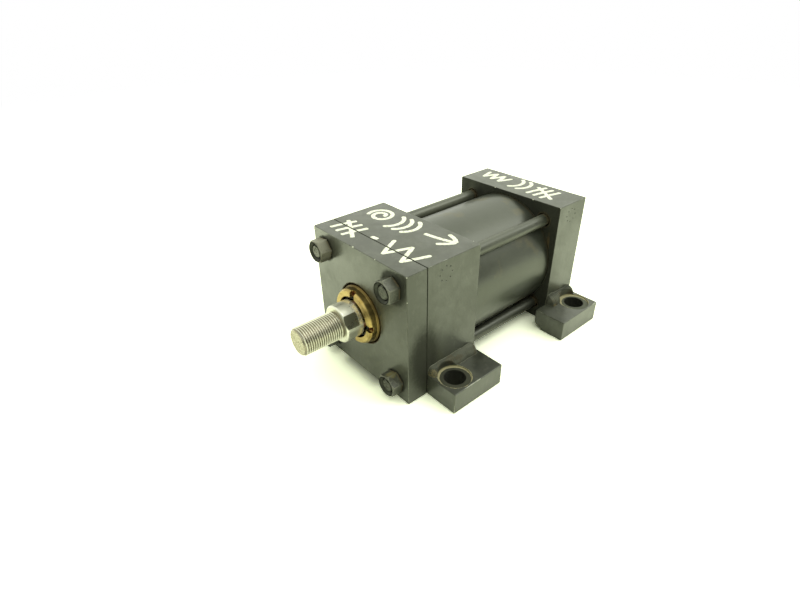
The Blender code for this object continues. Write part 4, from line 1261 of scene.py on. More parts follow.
def lug_body(name, node, side, hole_y):
    """One drilled lug."""
    low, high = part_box(node)
    body = to_object(name, bar(Vector((low.x, low.y, low.z)), Vector((high.x, high.y, LUG_TOP)), LUG_EDGE))
    carve(body, to_object("drill", lug_drill(), upright(side * LUG_HOLE_X, hole_y)))
    return body


lug_holes = {"front": head_low.y + 0.5 * INCH, "rear": cap_high.y - 0.5 * INCH}
lugs = {}
for side_name, side in (("right", 1), ("left", -1)):
    for end_name, hole_y in lug_holes.items():
        node = end_name + "_" + side_name + "_lug"
        lugs[node] = lug_body(node + "_body", node, side, hole_y)
print(len(lugs), "lug bodies")

# %% [markdown]
# The open root bevel of a rear lug was cut with a torch: its surface is coarse
# and stepped. A square bar, turned on its edge and roughened, cuts it away.

# %% Rough root bevels
for side_name, side in (("right", 1), ("left", -1)):
    low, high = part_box("rear_" + side_name + "_lug")
    torch = bmesh.new()
    reach = LUG_ROOT * math.sqrt(2.0)
    length = cap_low.y - low.y + CLEAR
    bmesh.ops.create_cube(torch, size=1.0)
    bmesh.ops.subdivide_edges(torch, edges=torch.edges[:], cuts=14, use_grid_fill=True)
    bmesh.ops.scale(torch, vec=(reach, length, reach), verts=torch.verts)
    bmesh.ops.rotate(
        torch, matrix=Matrix.Rotation(math.radians(45.0), 3, "Y"), cent=(0, 0, 0), verts=torch.verts
    )
    outward = Vector((side, 0.0, 1.0)).normalized()
    for vert in torch.verts:
        step_noise = noise.noise(Vector((vert.co.x * 190.0, vert.co.y * 240.0, vert.co.z * 190.0 + side)))
        fine_noise = noise.noise(vert.co * 700.0)
        if vert.co.dot(outward) > reach * 0.45:
            vert.co += outward * (2.6 * MM * round(step_noise * 5.0) / 5.0 + 0.35 * MM * fine_noise)
    spot = (side * (BLOCK_SIDE + SEAT_GAP), low.y - CLEAR / 2 + length / 2 - CLEAR / 2, 0.0)
    carve(lugs["rear_" + side_name + "_lug"], to_object("torch", torch, Matrix.Translation(spot)))
print("root bevels cut")

# %% [markdown]
# A fillet weld is a bead of metal laid in a corner. Seen from its end it is a
# triangle with a slightly full face; along its length the weld pool leaves
# ripples like fish scales. A grid is bent into that form: one direction runs
# round the section, the other along the corner.

# %% A grid bent into a closed bead
def swept(section_at, round_steps, long_steps, shape=None):
    """Bend a grid: section_at(u, v) gives the point for u round the section and v along it."""
    target = bmesh.new() if shape is None else shape
    made = bmesh.ops.create_grid(target, x_segments=round_steps, y_segments=long_steps, size=0.5)["verts"]
    for vert in made:
        vert.co = section_at(vert.co.x + 0.5, vert.co.y + 0.5)
    bmesh.ops.remove_doubles(target, verts=made, dist=0.002 * MM)
    bmesh.ops.holes_fill(target, edges=target.edges, sides=0)
    bmesh.ops.recalc_face_normals(target, faces=target.faces)
    return target


WELD_LEG = 6.2 * MM
WELD_FULLNESS = 0.7 * MM
WELD_SINK = 0.25 * MM
VISIBLE_SHARE = 0.75


def weld_bead(side, front, rear, ripple, lumps, seed, fullness, start_size=1.0):
    """A fillet weld in the corner of block and lug, from front to rear along Y, larger where it starts."""

    def section_at(u, v):
        y = front + 0.6 * MM + v * (rear - front - 1.2 * MM)
        near_end = min(v, 1 - v) * (rear - front) / (3.2 * MM)
        nose = math.sqrt(max(0.08, 1 - max(0.0, 1 - near_end) ** 2))
        uneven = 1.0 + lumps * noise.noise(Vector((seed, y * 230.0, 0.3)))
        start = 1.0 + (start_size - 1.0) * max(0.0, 1.0 - v * 2.2)
        leg = WELD_LEG * nose * uneven * start
        if u <= VISIBLE_SHARE:
            share = u / VISIBLE_SHARE
            across = leg * share
            up_wall = leg * (1 - share)
            curl = (share - 0.5) ** 2 * 2.6 * MM
            scale_ripple = ripple * math.cos((y - curl) / (1.7 * MM) * math.tau)
            rough = lumps * 0.9 * MM * noise.noise(Vector((share * 2.4 + seed, y * 520.0, seed)))
            swell = (fullness * nose + scale_ripple + rough) * math.sin(math.pi * share) * math.sqrt(0.5)
            across += swell
            up_wall += swell
        else:
            share = (u - VISIBLE_SHARE) / (1 - VISIBLE_SHARE)
            across = max(-WELD_SINK, leg * (1 - 2 * share)) if share < 0.5 else -WELD_SINK
            up_wall = -WELD_SINK if share <= 0.5 else max(-WELD_SINK, leg * (2 * share - 1))
            if share == 1.0:
                across = 0.0
            if share == 0.5:
                across = -WELD_SINK
        return (side * (BLOCK_SIDE + across), y, LUG_TOP + up_wall)

    return swept(section_at, 32, 120)


print("weld helper ready")

# %% Weld finish
def weld_finish(name, toe_x, rusty):
    """Weld metal that went dark, with bright toes and with rust at the places that are given."""
    material, tree, shader, point = new_finish(name, IOR=1.40, Specular_Tint=color(0.95, 1.0, 0.78))
    spots_noise = soft_noise(tree, point, 760.0, 4.0, 0.7)
    cloud = use_group(tree, clouds, {"Point": point, "Size": 90.0})["Cloud"]
    base = mix_color(tree, cloud, color(0.014, 0.015, 0.011), color(0.040, 0.043, 0.031))
    drawn = use_group(tree, scratches, {"Point": point, "Stretch": (1.0, 0.10, 1.0), "Scale": 1100.0})
    base = mix_color(tree, calc(tree, "MULTIPLY", drawn["Streaks"], 0.6), base, color(0.15, 0.155, 0.115))
    on_lug = {"Point": point, "Centre": (0.0, 0.0, LUG_TOP), "Across": (0.0, 0.0, 1.0)}
    low_toe = use_group(tree, ring_mask, {**on_lug, **TOE_LINE})["Mask"]
    on_block = {"Point": point, "Centre": (toe_x, 0.0, 0.0), "Across": (1.0, 0.0, 0.0)}
    high_toe = use_group(tree, ring_mask, {**on_block, **TOE_LINE})["Mask"]
    patches = smooth_step(tree, soft_noise(tree, point, 130.0, 2.0), 0.52, 0.60)
    toes = calc(tree, "MAXIMUM", low_toe, high_toe)
    base = mix_color(tree, calc(tree, "MULTIPLY", toes, 0.6), base, color(0.24, 0.245, 0.185))
    for place, size in rusty:
        values = {
            "Point": point,
            "Centre": place,
            "Inner": FILLED,
            "Outer": size,
            "Soft": 0.8 * MM,
            "Ragged": 0.8 * MM,
        }
        near_end = use_group(tree, ring_mask, values)["Mask"]
        tone_mask = calc(tree, "MULTIPLY", near_end, smooth_step(tree, spots_noise, 0.38, 0.60))
        base = mix_color(tree, calc(tree, "MULTIPLY", tone_mask, 0.9), base, color(0.19, 0.16, 0.080))
        base = mix_color(
            tree,
            calc(tree, "MULTIPLY", near_end, smooth_step(tree, spots_noise, 0.57, 0.62)),
            base,
            RUST_DARK,
        )
    base = mix_color(tree, calc(tree, "MULTIPLY", patches, 0.35), base, RUST_DARK)
    tree.links.new(base, shader.inputs["Base Color"])
    tree.links.new(smooth_step(tree, cloud, 0.0, 1.0, 0.46, 0.64), shader.inputs["Roughness"])
    rough = soft_noise(tree, point, 900.0, 4.0, 0.65)
    tree.links.new(bump(tree, rough, 0.15 * MM, 0.5), shader.inputs["Normal"])
    return material


# %% Weld and fasten the lugs
RIM_TONE = color(0.36, 0.33, 0.19)
SPOT_TONE = color(0.030, 0.031, 0.020)
# HOLE_SHADE is painted shade: the walls of the bolt holes go near black.
HOLE_SHADE = color(0.006, 0.006, 0.005)
rear_weld_start = cap_low.y + 2.5 * MM
for side_name, side in (("right", 1), ("left", -1)):
    rusty = [
        ((side * (BLOCK_SIDE + 3.5 * MM), head_low.y + 2.0 * MM, LUG_TOP + 1.5 * MM), 3.2 * MM),
        ((side * (BLOCK_SIDE + 5.5 * MM), rear_weld_start, LUG_TOP), 1.6 * MM),
    ]
    weld_steel = weld_finish("weld_steel_" + side_name, side * BLOCK_SIDE, rusty)
    for end_name, hole_y in lug_holes.items():
        node = end_name + "_" + side_name + "_lug"
        low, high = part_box(node)
        if end_name == "front":
            bead = weld_bead(side, head_low.y, high.y, 0.05 * MM, 0.10, 2.0 + side, WELD_FULLNESS)
        else:
            bead = weld_bead(
                side, cap_low.y - 1.0 * MM, high.y, 0.16 * MM, 0.10, 5.0 + side, 1.5 * MM, 1.25
            )
        bead_piece = to_object(node + "_weld", bead)
        carve(bead_piece, to_object("drill", lug_drill(), upright(side * LUG_HOLE_X, hole_y)))
        settle(bead_piece, weld_steel, "cylinder", "block_steel", node)
        centre = (side * LUG_HOLE_X, hole_y, 0.0)
        if end_name == "front":
            inner_tone, inner_reach, shift = SPOT_TONE, 1.1 * MM, 0.75
        else:
            inner_tone, inner_reach, shift = STEEL_STREAK, 1.2 * MM, 1.6
        cover = Vector(centre) + Vector((side * shift * MM, -shift * 0.3 * MM, 0.0))
        rims = [
            (centre, RING_UP, LUG_HOLE / 2, SPOTFACE / 2 + 0.1 * MM, 0.25 * MM, 0.40 * MM, RIM_TONE),
            (tuple(cover), RING_UP, -1.0 * MM, SPOTFACE / 2 - inner_reach, 0.4 * MM, 0.30 * MM, inner_tone),
            (centre, RING_UP, -1.0 * MM, LUG_HOLE / 2 + 0.15 * MM, 0.2 * MM, 0.08 * MM, HOLE_SHADE),
        ]
        lug_steel = oiled_steel(node + "_steel", low, Vector((high.x, high.y, LUG_TOP)), rims, 0.50 * MM)
        settle(lugs[node], lug_steel, "cylinder", "block_steel", node)

# %% [markdown]
# ## Bronze gland
#
# The gland guides the rod and holds its wiper. It is turned from bronze, with
# four milled notches in its face for a pin spanner. Bronze keeps its colour
# where it is handled and goes brown towards its outer edge; inside the wiper
# recess, the bore and the notch floors it is painted dark as shade.

# %% Bronze
bronze, tree, shader, point = new_finish("gland_bronze_turned", Metallic=1.0)
cloud = use_group(tree, clouds, {"Point": point, "Size": 70.0})["Cloud"]
lines = use_group(tree, scratches, {"Point": point, "Stretch": (1.0, 0.15, 1.0), "Scale": 1400.0})
base = mix_color(tree, cloud, color(0.36, 0.262, 0.082), color(0.58, 0.435, 0.165))
base = mix_color(tree, calc(tree, "MULTIPLY", lines["Streaks"], 0.4), base, color(0.33, 0.20, 0.055))
band = {"Point": point, "Centre": (0.0, gland_low.y, 0.0), "Across": (0.0, 1.0, 0.0)}
hollows = use_group(
    tree, ring_mask, {**band, "Inner": 2.3 * MM, "Outer": 30.0 * MM, "Ragged": 0.6 * MM}
)["Mask"]
from_axis = vector_calc(tree, "SUBTRACT", point, (0.0, 0.0, AXIS_HEIGHT))
gland_radius = vector_calc(tree, "LENGTH", vector_calc(tree, "MULTIPLY", from_axis, (1.0, 0.0, 1.0)))
inner_part = smooth_step(tree, gland_radius, GLAND_NOSE / 2 - 0.4 * MM, GLAND_NOSE / 2 - 0.9 * MM)
# Painted shade: inside the wiper recess, the bore and the notch floors the bronze goes dark red-brown.
recess_shade = calc(tree, "MULTIPLY", hollows, inner_part)
base = mix_color(tree, recess_shade, base, color(0.10, 0.030, 0.012))
outer_part = smooth_step(tree, gland_radius, GLAND_NOSE / 2 - 0.35 * MM, GLAND_NOSE / 2 - 0.05 * MM)
streaky = soft_noise(tree, vector_calc(tree, "MULTIPLY", point, (1.0, 0.35, 1.0)), 160.0, 4.0, 0.6)
tarnish = smooth_step(tree, streaky, 0.40, 0.60, 0.95, 0.55)
base = mix_color(tree, calc(tree, "MULTIPLY", outer_part, tarnish), base, color(0.165, 0.122, 0.042))
body_part = smooth_step(tree, gland_radius, GLAND_NOSE / 2 + 0.05 * MM, GLAND_NOSE / 2 + 0.35 * MM)
base = mix_color(tree, body_part, base, color(0.150, 0.105, 0.036))
tree.links.new(base, shader.inputs["Base Color"])
rough = calc(
    tree, "ADD", smooth_step(tree, cloud, 0.0, 1.0, 0.24, 0.38), calc(tree, "MULTIPLY", outer_part, 0.12)
)
tree.links.new(rough, shader.inputs["Roughness"])
turned_lines = calc(tree, "MULTIPLY", lines["Lines"], 0.3)
speckle = calc(tree, "MULTIPLY", soft_noise(tree, point, 1100.0, 3.0, 0.6), 0.7)
tree.links.new(
    bump(tree, calc(tree, "ADD", turned_lines, speckle), 0.03 * MM, 0.5), shader.inputs["Normal"]
)

# %% Turn and notch the gland
RUNNING = ROD / 2 + 0.1 * MM
GLAND_PILOT = 0.7 * INCH
NOTCH_COUNT = 4
NOTCH_WIDTH = 4.5 * MM
NOTCH_DEPTH = 2.6 * MM
NOTCH_TURN = math.radians(-3.5)
nose = GLAND_NOSE / 2
body_radius = GLAND_BODY / 2
groove_rear = gland_high.y - 3.0 * MM
groove_front = groove_rear - 2.7 * MM
seal_rear = gland_high.y - 8.0 * MM
seal_front = seal_rear - 6.8 * MM
gland_section = [
    (RUNNING, gland_high.y),
    (GLAND_PILOT, gland_high.y),
    (GLAND_PILOT, groove_rear),
    (GLAND_PILOT - 2.4 * MM, groove_rear),
    (GLAND_PILOT - 2.4 * MM, groove_front),
    (GLAND_PILOT, groove_front),
    (GLAND_PILOT, gland_high.y - 12.0 * MM),
    (body_radius, gland_high.y - 12.0 * MM),
    (body_radius, plate_low.y - 1.0 * MM + body_radius - nose),
    (nose, plate_low.y - 1.0 * MM),
    (nose, gland_low.y + 1.8 * MM),
    (nose - 1.2 * MM, gland_low.y),
    (WIPER_RECESS / 2, gland_low.y),
    (WIPER_RECESS / 2, gland_low.y + WIPER_RECESS_DEPTH),
    (RUNNING, gland_low.y + WIPER_RECESS_DEPTH),
    (RUNNING, seal_front),
    (16.8 * MM, seal_front),
    (16.8 * MM, seal_rear),
    (RUNNING, seal_rear),
]
gland = to_object("gland_turned", spun(soften(gland_section, 0.25 * MM), 160), axis_place())
for number in range(NOTCH_COUNT):
    mill = bmesh.new()
    bmesh.ops.create_cube(mill, size=1.0)
    bmesh.ops.scale(mill, vec=(nose, 2 * NOTCH_DEPTH, NOTCH_WIDTH), verts=mill.verts)
    bmesh.ops.bevel(
        mill,
        geom=mill.edges[:],
        offset=0.9 * MM,
        affect="EDGES",
        segments=4,
        profile=0.5,
        material=-1,
    )
    bmesh.ops.translate(mill, vec=(nose + 1.0 * MM, gland_low.y, 0.0), verts=mill.verts)
    turn = Matrix.Rotation(-(NOTCH_TURN + math.tau * number / NOTCH_COUNT), 4, "Y")
    carve(gland, to_object("mill", mill, axis_place() @ turn))
settle(gland, bronze, "cylinder", "gland_bronze", "rod_gland")

# %% [markdown]
# ## Rubber and other soft rings
#
# Wiper, seals, O-rings and gaskets are all small rings of black rubber. Most of
# them are hidden, but whoever opens the model finds them in their grooves.

# %% Rubber, plastic and cast iron
rubber, tree, shader, point = new_finish("seal_rubber_matt", Roughness=0.6, IOR=1.52)
dust = use_group(tree, clouds, {"Point": point, "Size": 150.0})["Cloud"]
tree.links.new(
    mix_color(tree, dust, color(0.012, 0.012, 0.011), color(0.035, 0.033, 0.028)),
    shader.inputs["Base Color"],
)
tree.links.new(bump(tree, soft_noise(tree, point, 2200.0, 3.0), 0.02 * MM, 0.4), shader.inputs["Normal"])

plastic, tree, shader, point = new_finish("guide_plastic_brown", Roughness=0.45)
cloud = use_group(tree, clouds, {"Point": point, "Size": 100.0})["Cloud"]
tree.links.new(
    mix_color(tree, cloud, color(0.12, 0.075, 0.035), color(0.20, 0.125, 0.06)), shader.inputs["Base Color"]
)
tree.links.new(bump(tree, soft_noise(tree, point, 1500.0, 3.0), 0.02 * MM, 0.4), shader.inputs["Normal"])

iron, tree, shader, point = new_finish("piston_iron_turned", Metallic=0.8)
cloud = use_group(tree, clouds, {"Point": point, "Size": 60.0})["Cloud"]
lines = use_group(tree, scratches, {"Point": point, "Stretch": (0.2, 3.0, 0.2), "Scale": 900.0})
tree.links.new(
    mix_color(tree, cloud, color(0.17, 0.17, 0.165), color(0.30, 0.30, 0.29)), shader.inputs["Base Color"]
)
tree.links.new(smooth_step(tree, cloud, 0.0, 1.0, 0.38, 0.52), shader.inputs["Roughness"])
tree.links.new(bump(tree, lines["Lines"], 0.03 * MM, 0.5), shader.inputs["Normal"])

# %% Rings in the gland
RUBBER_GAP = 0.15 * MM
inner = ROD / 2 + RUBBER_GAP


def ring_section(inner_radius, outer_radius, front, rear):
    """A plain rectangular ring section."""
    return [(outer_radius, rear), (outer_radius, front), (inner_radius, front), (inner_radius, rear)]


def round_section(radius, y, half):
    """The section of an O-ring."""
    points = []
    for number in range(20):
        turn = math.tau * number / 20
        points.append((radius + half * math.cos(turn), y - half * math.sin(turn)))
    return points


wiper_low, wiper_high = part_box("rod_wiper")
wiper_section = [
    (WIPER_RECESS / 2 - RUBBER_GAP, wiper_high.y),
    (WIPER_RECESS / 2 - RUBBER_GAP, wiper_low.y + 1.6 * MM),
    (inner + 0.4 * MM, wiper_low.y),
    (inner, wiper_low.y),
    (inner, wiper_high.y),
]
seal_low, seal_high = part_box("rod_seal")
middle_radius = (inner + 16.5 * MM) / 2
seal_section = [
    (16.5 * MM, seal_high.y),
    (16.5 * MM, seal_low.y),
    (inner, seal_low.y),
    (inner, seal_high.y),
    (middle_radius, seal_high.y - 2.2 * MM),
]
o_ring_low, o_ring_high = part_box("gland_o_ring")
o_ring_section = round_section(GLAND_PILOT - 1.05 * MM, (o_ring_low.y + o_ring_high.y) / 2, 1.2 * MM)
for node, section, width in (
    ("rod_wiper", wiper_section, 0.2 * MM),
    ("rod_seal", seal_section, 0.3 * MM),
    ("gland_o_ring", o_ring_section, 0.0),
):
    smooth_section = soften(section, width) if width else section
    ring = to_object(node + "_moulded", spun(smooth_section, 128), axis_place())
    settle(ring, rubber, "cylinder", "seal_rubber", node)
for node in ("tube_gasket_front", "tube_gasket_rear"):
    low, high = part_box(node)
    section = soften(ring_section(BORE / 2, TUBE_RADIUS, low.y, high.y), 0.2 * MM)
    settle(
        to_object(node + "_cut", spun(section, 128), axis_place()), rubber, "cylinder", "seal_rubber", node
    )

# %% [markdown]
# ## Piston rod
#
# The rod is hard chromed where it slides. Its end is turned down and threaded,
# with an undercut where the thread runs out and two flats for a wrench. The
# thread is cut as a bar of its own and joined to the rod by a Boolean.

# %% Bright steel
ROD_FLATS = 0.9375 * INCH
FLAT_LENGTH = 9.4 * MM
FLAT_TURN = math.radians(29.0)
bright, tree, shader, point = new_finish("bright_rod_steel")
cloud = use_group(tree, clouds, {"Point": point, "Size": 60.0})["Cloud"]
lines = use_group(tree, scratches, {"Point": point, "Stretch": (0.25, 4.0, 0.25), "Scale": 700.0})
base = mix_color(tree, cloud, color(0.76, 0.75, 0.63), color(0.86, 0.85, 0.72))
at_end = {"Point": point, "Centre": (0.0, rod_low.y, 0.0), "Across": (0.0, 1.0, 0.0), "Ragged": 0.0}
end_length = SHOULDER + 12.0 * MM - rod_low.y
flat_end = SHOULDER + FLAT_LENGTH - rod_low.y
worked = use_group(
    tree, ring_mask, {**at_end, "Inner": FILLED, "Outer": end_length, "Soft": 1.0 * MM}
)["Mask"]
from_axis = vector_calc(tree, "SUBTRACT", point, (0.0, 0.0, AXIS_HEIGHT))
rod_radius = vector_calc(tree, "LENGTH", vector_calc(tree, "MULTIPLY", from_axis, (1.0, 0.0, 1.0)))
thread_root = ROD_THREAD / 2 - ROD_PITCH * 0.34
in_groove = calc(
    tree, "MULTIPLY", smooth_step(tree, rod_radius, thread_root + 0.3 * MM, thread_root - 0.1 * MM), worked
)
base = mix_color(tree, calc(tree, "MULTIPLY", in_groove, 0.8), base, color(0.22, 0.185, 0.115))
from_flat = vector_calc(tree, "DOT_PRODUCT", from_axis, (math.cos(FLAT_TURN), 0.0, math.sin(FLAT_TURN)))
on_flat = smooth_step(
    tree, calc(tree, "ABSOLUTE", from_flat), ROD_FLATS / 2 - 0.10 * MM, ROD_FLATS / 2 - 0.04 * MM
)
milled = use_group(tree, ring_mask, {**at_end, "Inner": 0.0, "Outer": flat_end, "Soft": 0.05 * MM})["Mask"]
# Painted dark reflection: the wrench flats are darker, as they face the dim side of the room.
base = mix_color(tree, calc(tree, "MULTIPLY", on_flat, milled), base, color(0.25, 0.245, 0.175))
sawn_values = {"Point": point, "Centre": (0.0, rod_low.y, 0.0), "Across": (0.0, 1.0, 0.0)}
sawn = use_group(
    tree, ring_mask, {**sawn_values, "Inner": FILLED, "Outer": 0.1 * MM, "Soft": 0.1 * MM, "Ragged": 0.0}
)["Mask"]
speckle = smooth_step(tree, soft_noise(tree, point, 1500.0, 3.0, 0.7), 0.40, 0.60)
base = mix_color(
    tree, sawn, base, mix_color(tree, speckle, color(0.34, 0.30, 0.19), color(0.72, 0.68, 0.52))
)
tree.links.new(base, shader.inputs["Base Color"])
rough = calc(
    tree, "ADD", smooth_step(tree, cloud, 0.0, 1.0, 0.12, 0.18), calc(tree, "MULTIPLY", worked, 0.14)
)
rough = calc(tree, "ADD", rough, calc(tree, "MULTIPLY", sawn, 0.2))
tree.links.new(rough, shader.inputs["Roughness"])
tree.links.new(smooth_step(tree, worked, 0.0, 1.0, 1.0, 0.80), shader.inputs["Metallic"])
saw_marks = soft_noise(tree, vector_calc(tree, "MULTIPLY", point, (0.3, 1.0, 1.0)), 1600.0, 3.0, 0.6)
marks = calc(tree, "MULTIPLY", saw_marks, calc(tree, "MULTIPLY", sawn, 20.0))
height = calc(tree, "ADD", lines["Lines"], marks)
tree.links.new(bump(tree, height, 0.0015 * MM, 0.5), shader.inputs["Normal"])

# %% Turn the rod and cut its thread
SHOULDER_CHAMFER = 0.8 * MM
UNDERCUT_WIDTH = 0.8 * MM
UNDERCUT_RADIUS = ROD_THREAD / 2 - 1.2 * MM
ROD_TIP_CHAMFER = 1.4 * MM
SPIGOT = 0.375 * INCH
spigot_start = piston_low.y - SEAT_GAP
groove_start = piston_low.y + 3.3 * MM
groove_stop = groove_start + 1.6 * MM + 2 * SEAT_GAP
rod_profile = [
    (0.0, rod_high.y),
    (SPIGOT - 1.4 * MM, rod_high.y),
    (SPIGOT, rod_high.y - 1.4 * MM),
    (SPIGOT, groove_stop),
    (SPIGOT - 1.6 * MM, groove_stop),
    (SPIGOT - 1.6 * MM, groove_start),
    (SPIGOT, groove_start),
    (SPIGOT, spigot_start),
    (ROD / 2, spigot_start),
    (ROD / 2, SHOULDER + SHOULDER_CHAMFER),
    (ROD / 2 - SHOULDER_CHAMFER, SHOULDER),
    (UNDERCUT_RADIUS, SHOULDER),
    (UNDERCUT_RADIUS, SHOULDER - UNDERCUT_WIDTH - 2.0 * MM),
    (0.0, SHOULDER - UNDERCUT_WIDTH - 2.0 * MM),
]
piston_rod = to_object(
    "piston_rod_turned", spun(soften(rod_profile, 0.2 * MM, closed=False), 160, closed=False)
)


def rod_thread_limit(y):
    """Chamfers at the rod's tip and towards the undercut."""
    from_tip = y - rod_low.y
    from_undercut = (SHOULDER - UNDERCUT_WIDTH - y) * 3.0
    tip_chamfer = max(0.0, ROD_TIP_CHAMFER - from_tip)
    return min(ROD_THREAD / 2 - tip_chamfer, UNDERCUT_RADIUS + max(0.0, from_undercut))


stub = threaded(ROD_THREAD / 2, ROD_PITCH, rod_low.y, SHOULDER - UNDERCUT_WIDTH, rod_thread_limit, 96)
carve(piston_rod, to_object("stub", stub), "UNION")
for sign in (1, -1):
    mill = bmesh.new()
    bmesh.ops.create_cube(mill, size=1.0)
    bmesh.ops.scale(mill, vec=(ROD / 2, FLAT_LENGTH + CLEAR, 2 * ROD), verts=mill.verts)
    shift = (sign * (ROD_FLATS / 2 + ROD / 4), SHOULDER + (FLAT_LENGTH - CLEAR) / 2, 0.0)
    bmesh.ops.translate(mill, vec=shift, verts=mill.verts)
    carve(piston_rod, to_object("mill", mill, Matrix.Rotation(-FLAT_TURN, 4, "Y")))
piston_rod.data.transform(axis_place())
settle(piston_rod, bright, "rod_and_piston", "rod_chrome", "piston_rod")

# %% [markdown]
# ## Piston
#
# The piston is cast iron, with two lip seals and a wear ring, and a lock nut in
# a pocket. None of it shows from outside, but all of it moves with the rod.

# %% Piston, its nut and its rings
outer = BORE / 2 - 0.35 * MM
seal_depth = 5.0 * MM
seal_bottom = outer - seal_depth
wear_bottom = outer - 2.0 * MM
middle_y = (piston_low.y + piston_high.y) / 2
rear_groove = piston_high.y - 3.2 * MM
front_groove = piston_low.y + 3.2 * MM
seal_room = 5.3 * MM
wear_room = 4.15 * MM
POCKET = 18.0 * MM
pocket_floor = piston_high.y - 12.5 * MM
piston_section = [
    (POCKET, piston_high.y),
    (outer - 1.0 * MM, piston_high.y),
    (outer, piston_high.y - 1.0 * MM),
    (outer, rear_groove),
    (seal_bottom, rear_groove),
    (seal_bottom, rear_groove - seal_room),
    (outer, rear_groove - seal_room),
    (outer, middle_y + wear_room),
    (wear_bottom, middle_y + wear_room),
    (wear_bottom, middle_y - wear_room),
    (outer, middle_y - wear_room),
    (outer, front_groove + seal_room),
    (seal_bottom, front_groove + seal_room),
    (seal_bottom, front_groove),
    (outer, front_groove),
    (outer, piston_low.y + 1.0 * MM),
    (outer - 1.0 * MM, piston_low.y),
    (SPIGOT + SEAT_GAP, piston_low.y),
    (SPIGOT + SEAT_GAP, pocket_floor),
    (POCKET, pocket_floor),
]
turned_piston = to_object("piston_turned", spun(soften(piston_section, 0.25 * MM), 160), axis_place())
settle(turned_piston, iron, "rod_and_piston", "piston_iron", "piston")

nut_low, nut_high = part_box("piston_nut")
nut_place = axis_place(nut_low.y) @ Matrix.Rotation(math.pi, 4, "Z")
lock_nut = nut(1.125 * INCH, nut_high.y - nut_low.y, SPIGOT + SEAT_GAP, 1.4 * MM)
settle(
    to_object("piston_nut_hexagon", lock_nut, nut_place, sharp=32.0),
    nut_steel,
    "rod_and_piston",
    "nut_steel",
    "piston_nut",
)

wall = BORE / 2 - RUBBER_GAP
lip_root = seal_bottom + RUBBER_GAP
lip_middle = (wall + lip_root) / 2
SCOOP = 2.2 * MM
rear_low, rear_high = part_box("piston_seal_rear")
front_low, front_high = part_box("piston_seal_front")
wear_low, wear_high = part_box("wear_ring")
rear_cup = [
    (wall, rear_high.y),
    (wall, rear_low.y),
    (lip_root, rear_low.y),
    (lip_root, rear_high.y),
    (lip_middle, rear_high.y - SCOOP),
]
front_cup = [
    (wall, front_high.y),
    (wall, front_low.y),
    (lip_middle, front_low.y + SCOOP),
    (lip_root, front_low.y),
    (lip_root, front_high.y),
]
spigot_low, spigot_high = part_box("piston_o_ring")
spigot_ring = round_section(SPIGOT - 0.5 * MM, (spigot_low.y + spigot_high.y) / 2, 0.8 * MM)
band_section = ring_section(wear_bottom + RUBBER_GAP, wall, wear_low.y, wear_high.y)
for node, section, width, material, body, slot in (
    ("piston_seal_rear", rear_cup, 0.3 * MM, rubber, "piston_rings", "seal_rubber"),
    ("piston_seal_front", front_cup, 0.3 * MM, rubber, "piston_rings", "seal_rubber"),
    ("wear_ring", band_section, 0.2 * MM, plastic, "piston_rings", "guide_plastic"),
    ("piston_o_ring", spigot_ring, 0.0, rubber, "rod_and_piston", "seal_rubber"),
):
    smooth_section = soften(section, width) if width else section
    ring = to_object(node + "_moulded", spun(smooth_section, 128), axis_place())
    settle(ring, material, body, slot, node)

# %% [markdown]
# ## Paint marker
#
# The tops carry marks from a thick paint marker. They say nothing here: tally
# strokes, zigzags, arcs, a spiral and arrows, laid out in rows. Each stroke is a
# thin film, a grid bent round a very flat oval and led along a curve.

# %% Marker paint
marker, tree, shader, point = new_finish("marker_paint_cream", IOR=1.5)
thin = soft_noise(tree, point, 420.0, 4.0, 0.65)
cover = smooth_step(tree, thin, 0.34, 0.48)
tree.links.new(
    mix_color(tree, cover, color(0.58, 0.58, 0.44), color(0.90, 0.92, 0.76)), shader.inputs["Base Color"]
)
tree.links.new(smooth_step(tree, thin, 0.3, 0.7, 0.45, 0.6), shader.inputs["Roughness"])
tree.links.new(bump(tree, soft_noise(tree, point, 1300.0, 3.0), 0.03 * MM, 0.5), shader.inputs["Normal"])

# %% Shapes of marks, in millimetres
def zigzag(length, height, peaks):
    """A line that goes up and down between two rows."""
    points = []
    for number in range(2 * peaks + 1):
        points.append((length * number / (2 * peaks), -height / 2 if number % 2 else height / 2))
    return [rounded(points)]


def rounded(points):
    """Add a point just before and after each corner, so that a curve keeps the corners tight."""
    kept = [Vector(points[0])]
    for before, corner, after in zip(points, points[1:], points[2:]):
        here = Vector(corner)
        kept.append(here.lerp(Vector(before), 0.12))
        kept.append(here.lerp(Vector(after), 0.12))
    kept.append(Vector(points[-1]))
    return kept


def spiral(radius, turns):
    """A spiral drawn from its middle."""
    points = []
    for number in range(round(turns * 10) + 1):
        turn = math.tau * number / 10
        reach = radius * (0.26 + 0.74 * number / (turns * 10))
        points.append((reach * math.cos(turn), reach * math.sin(turn)))
    return [points]


def tally(count, pitch, height, crossed):
    """Slanted strokes side by side, with or without a stroke across them."""
    marks = [
        [(pitch * n, -height / 2), (pitch * n + 1.0, 0.0), (pitch * n + 2.6, height / 2)]
        for n in range(count)
    ]
    if crossed:
        marks.append(
            [(-2.5, height * 0.30), (pitch * count / 2, 0.0), (pitch * count + 1.0, -height * 0.30)]
        )
    return marks


def arcs(count, pitch, radius):
    """Open arcs, one behind the other."""
    marks = []
    for number in range(count):
        turns = [math.radians(-62.0 + 12.4 * step) for step in range(11)]
        marks.append(
            [(pitch * number + radius * math.cos(t) - radius, radius * math.sin(t)) for t in turns]
        )
    return marks


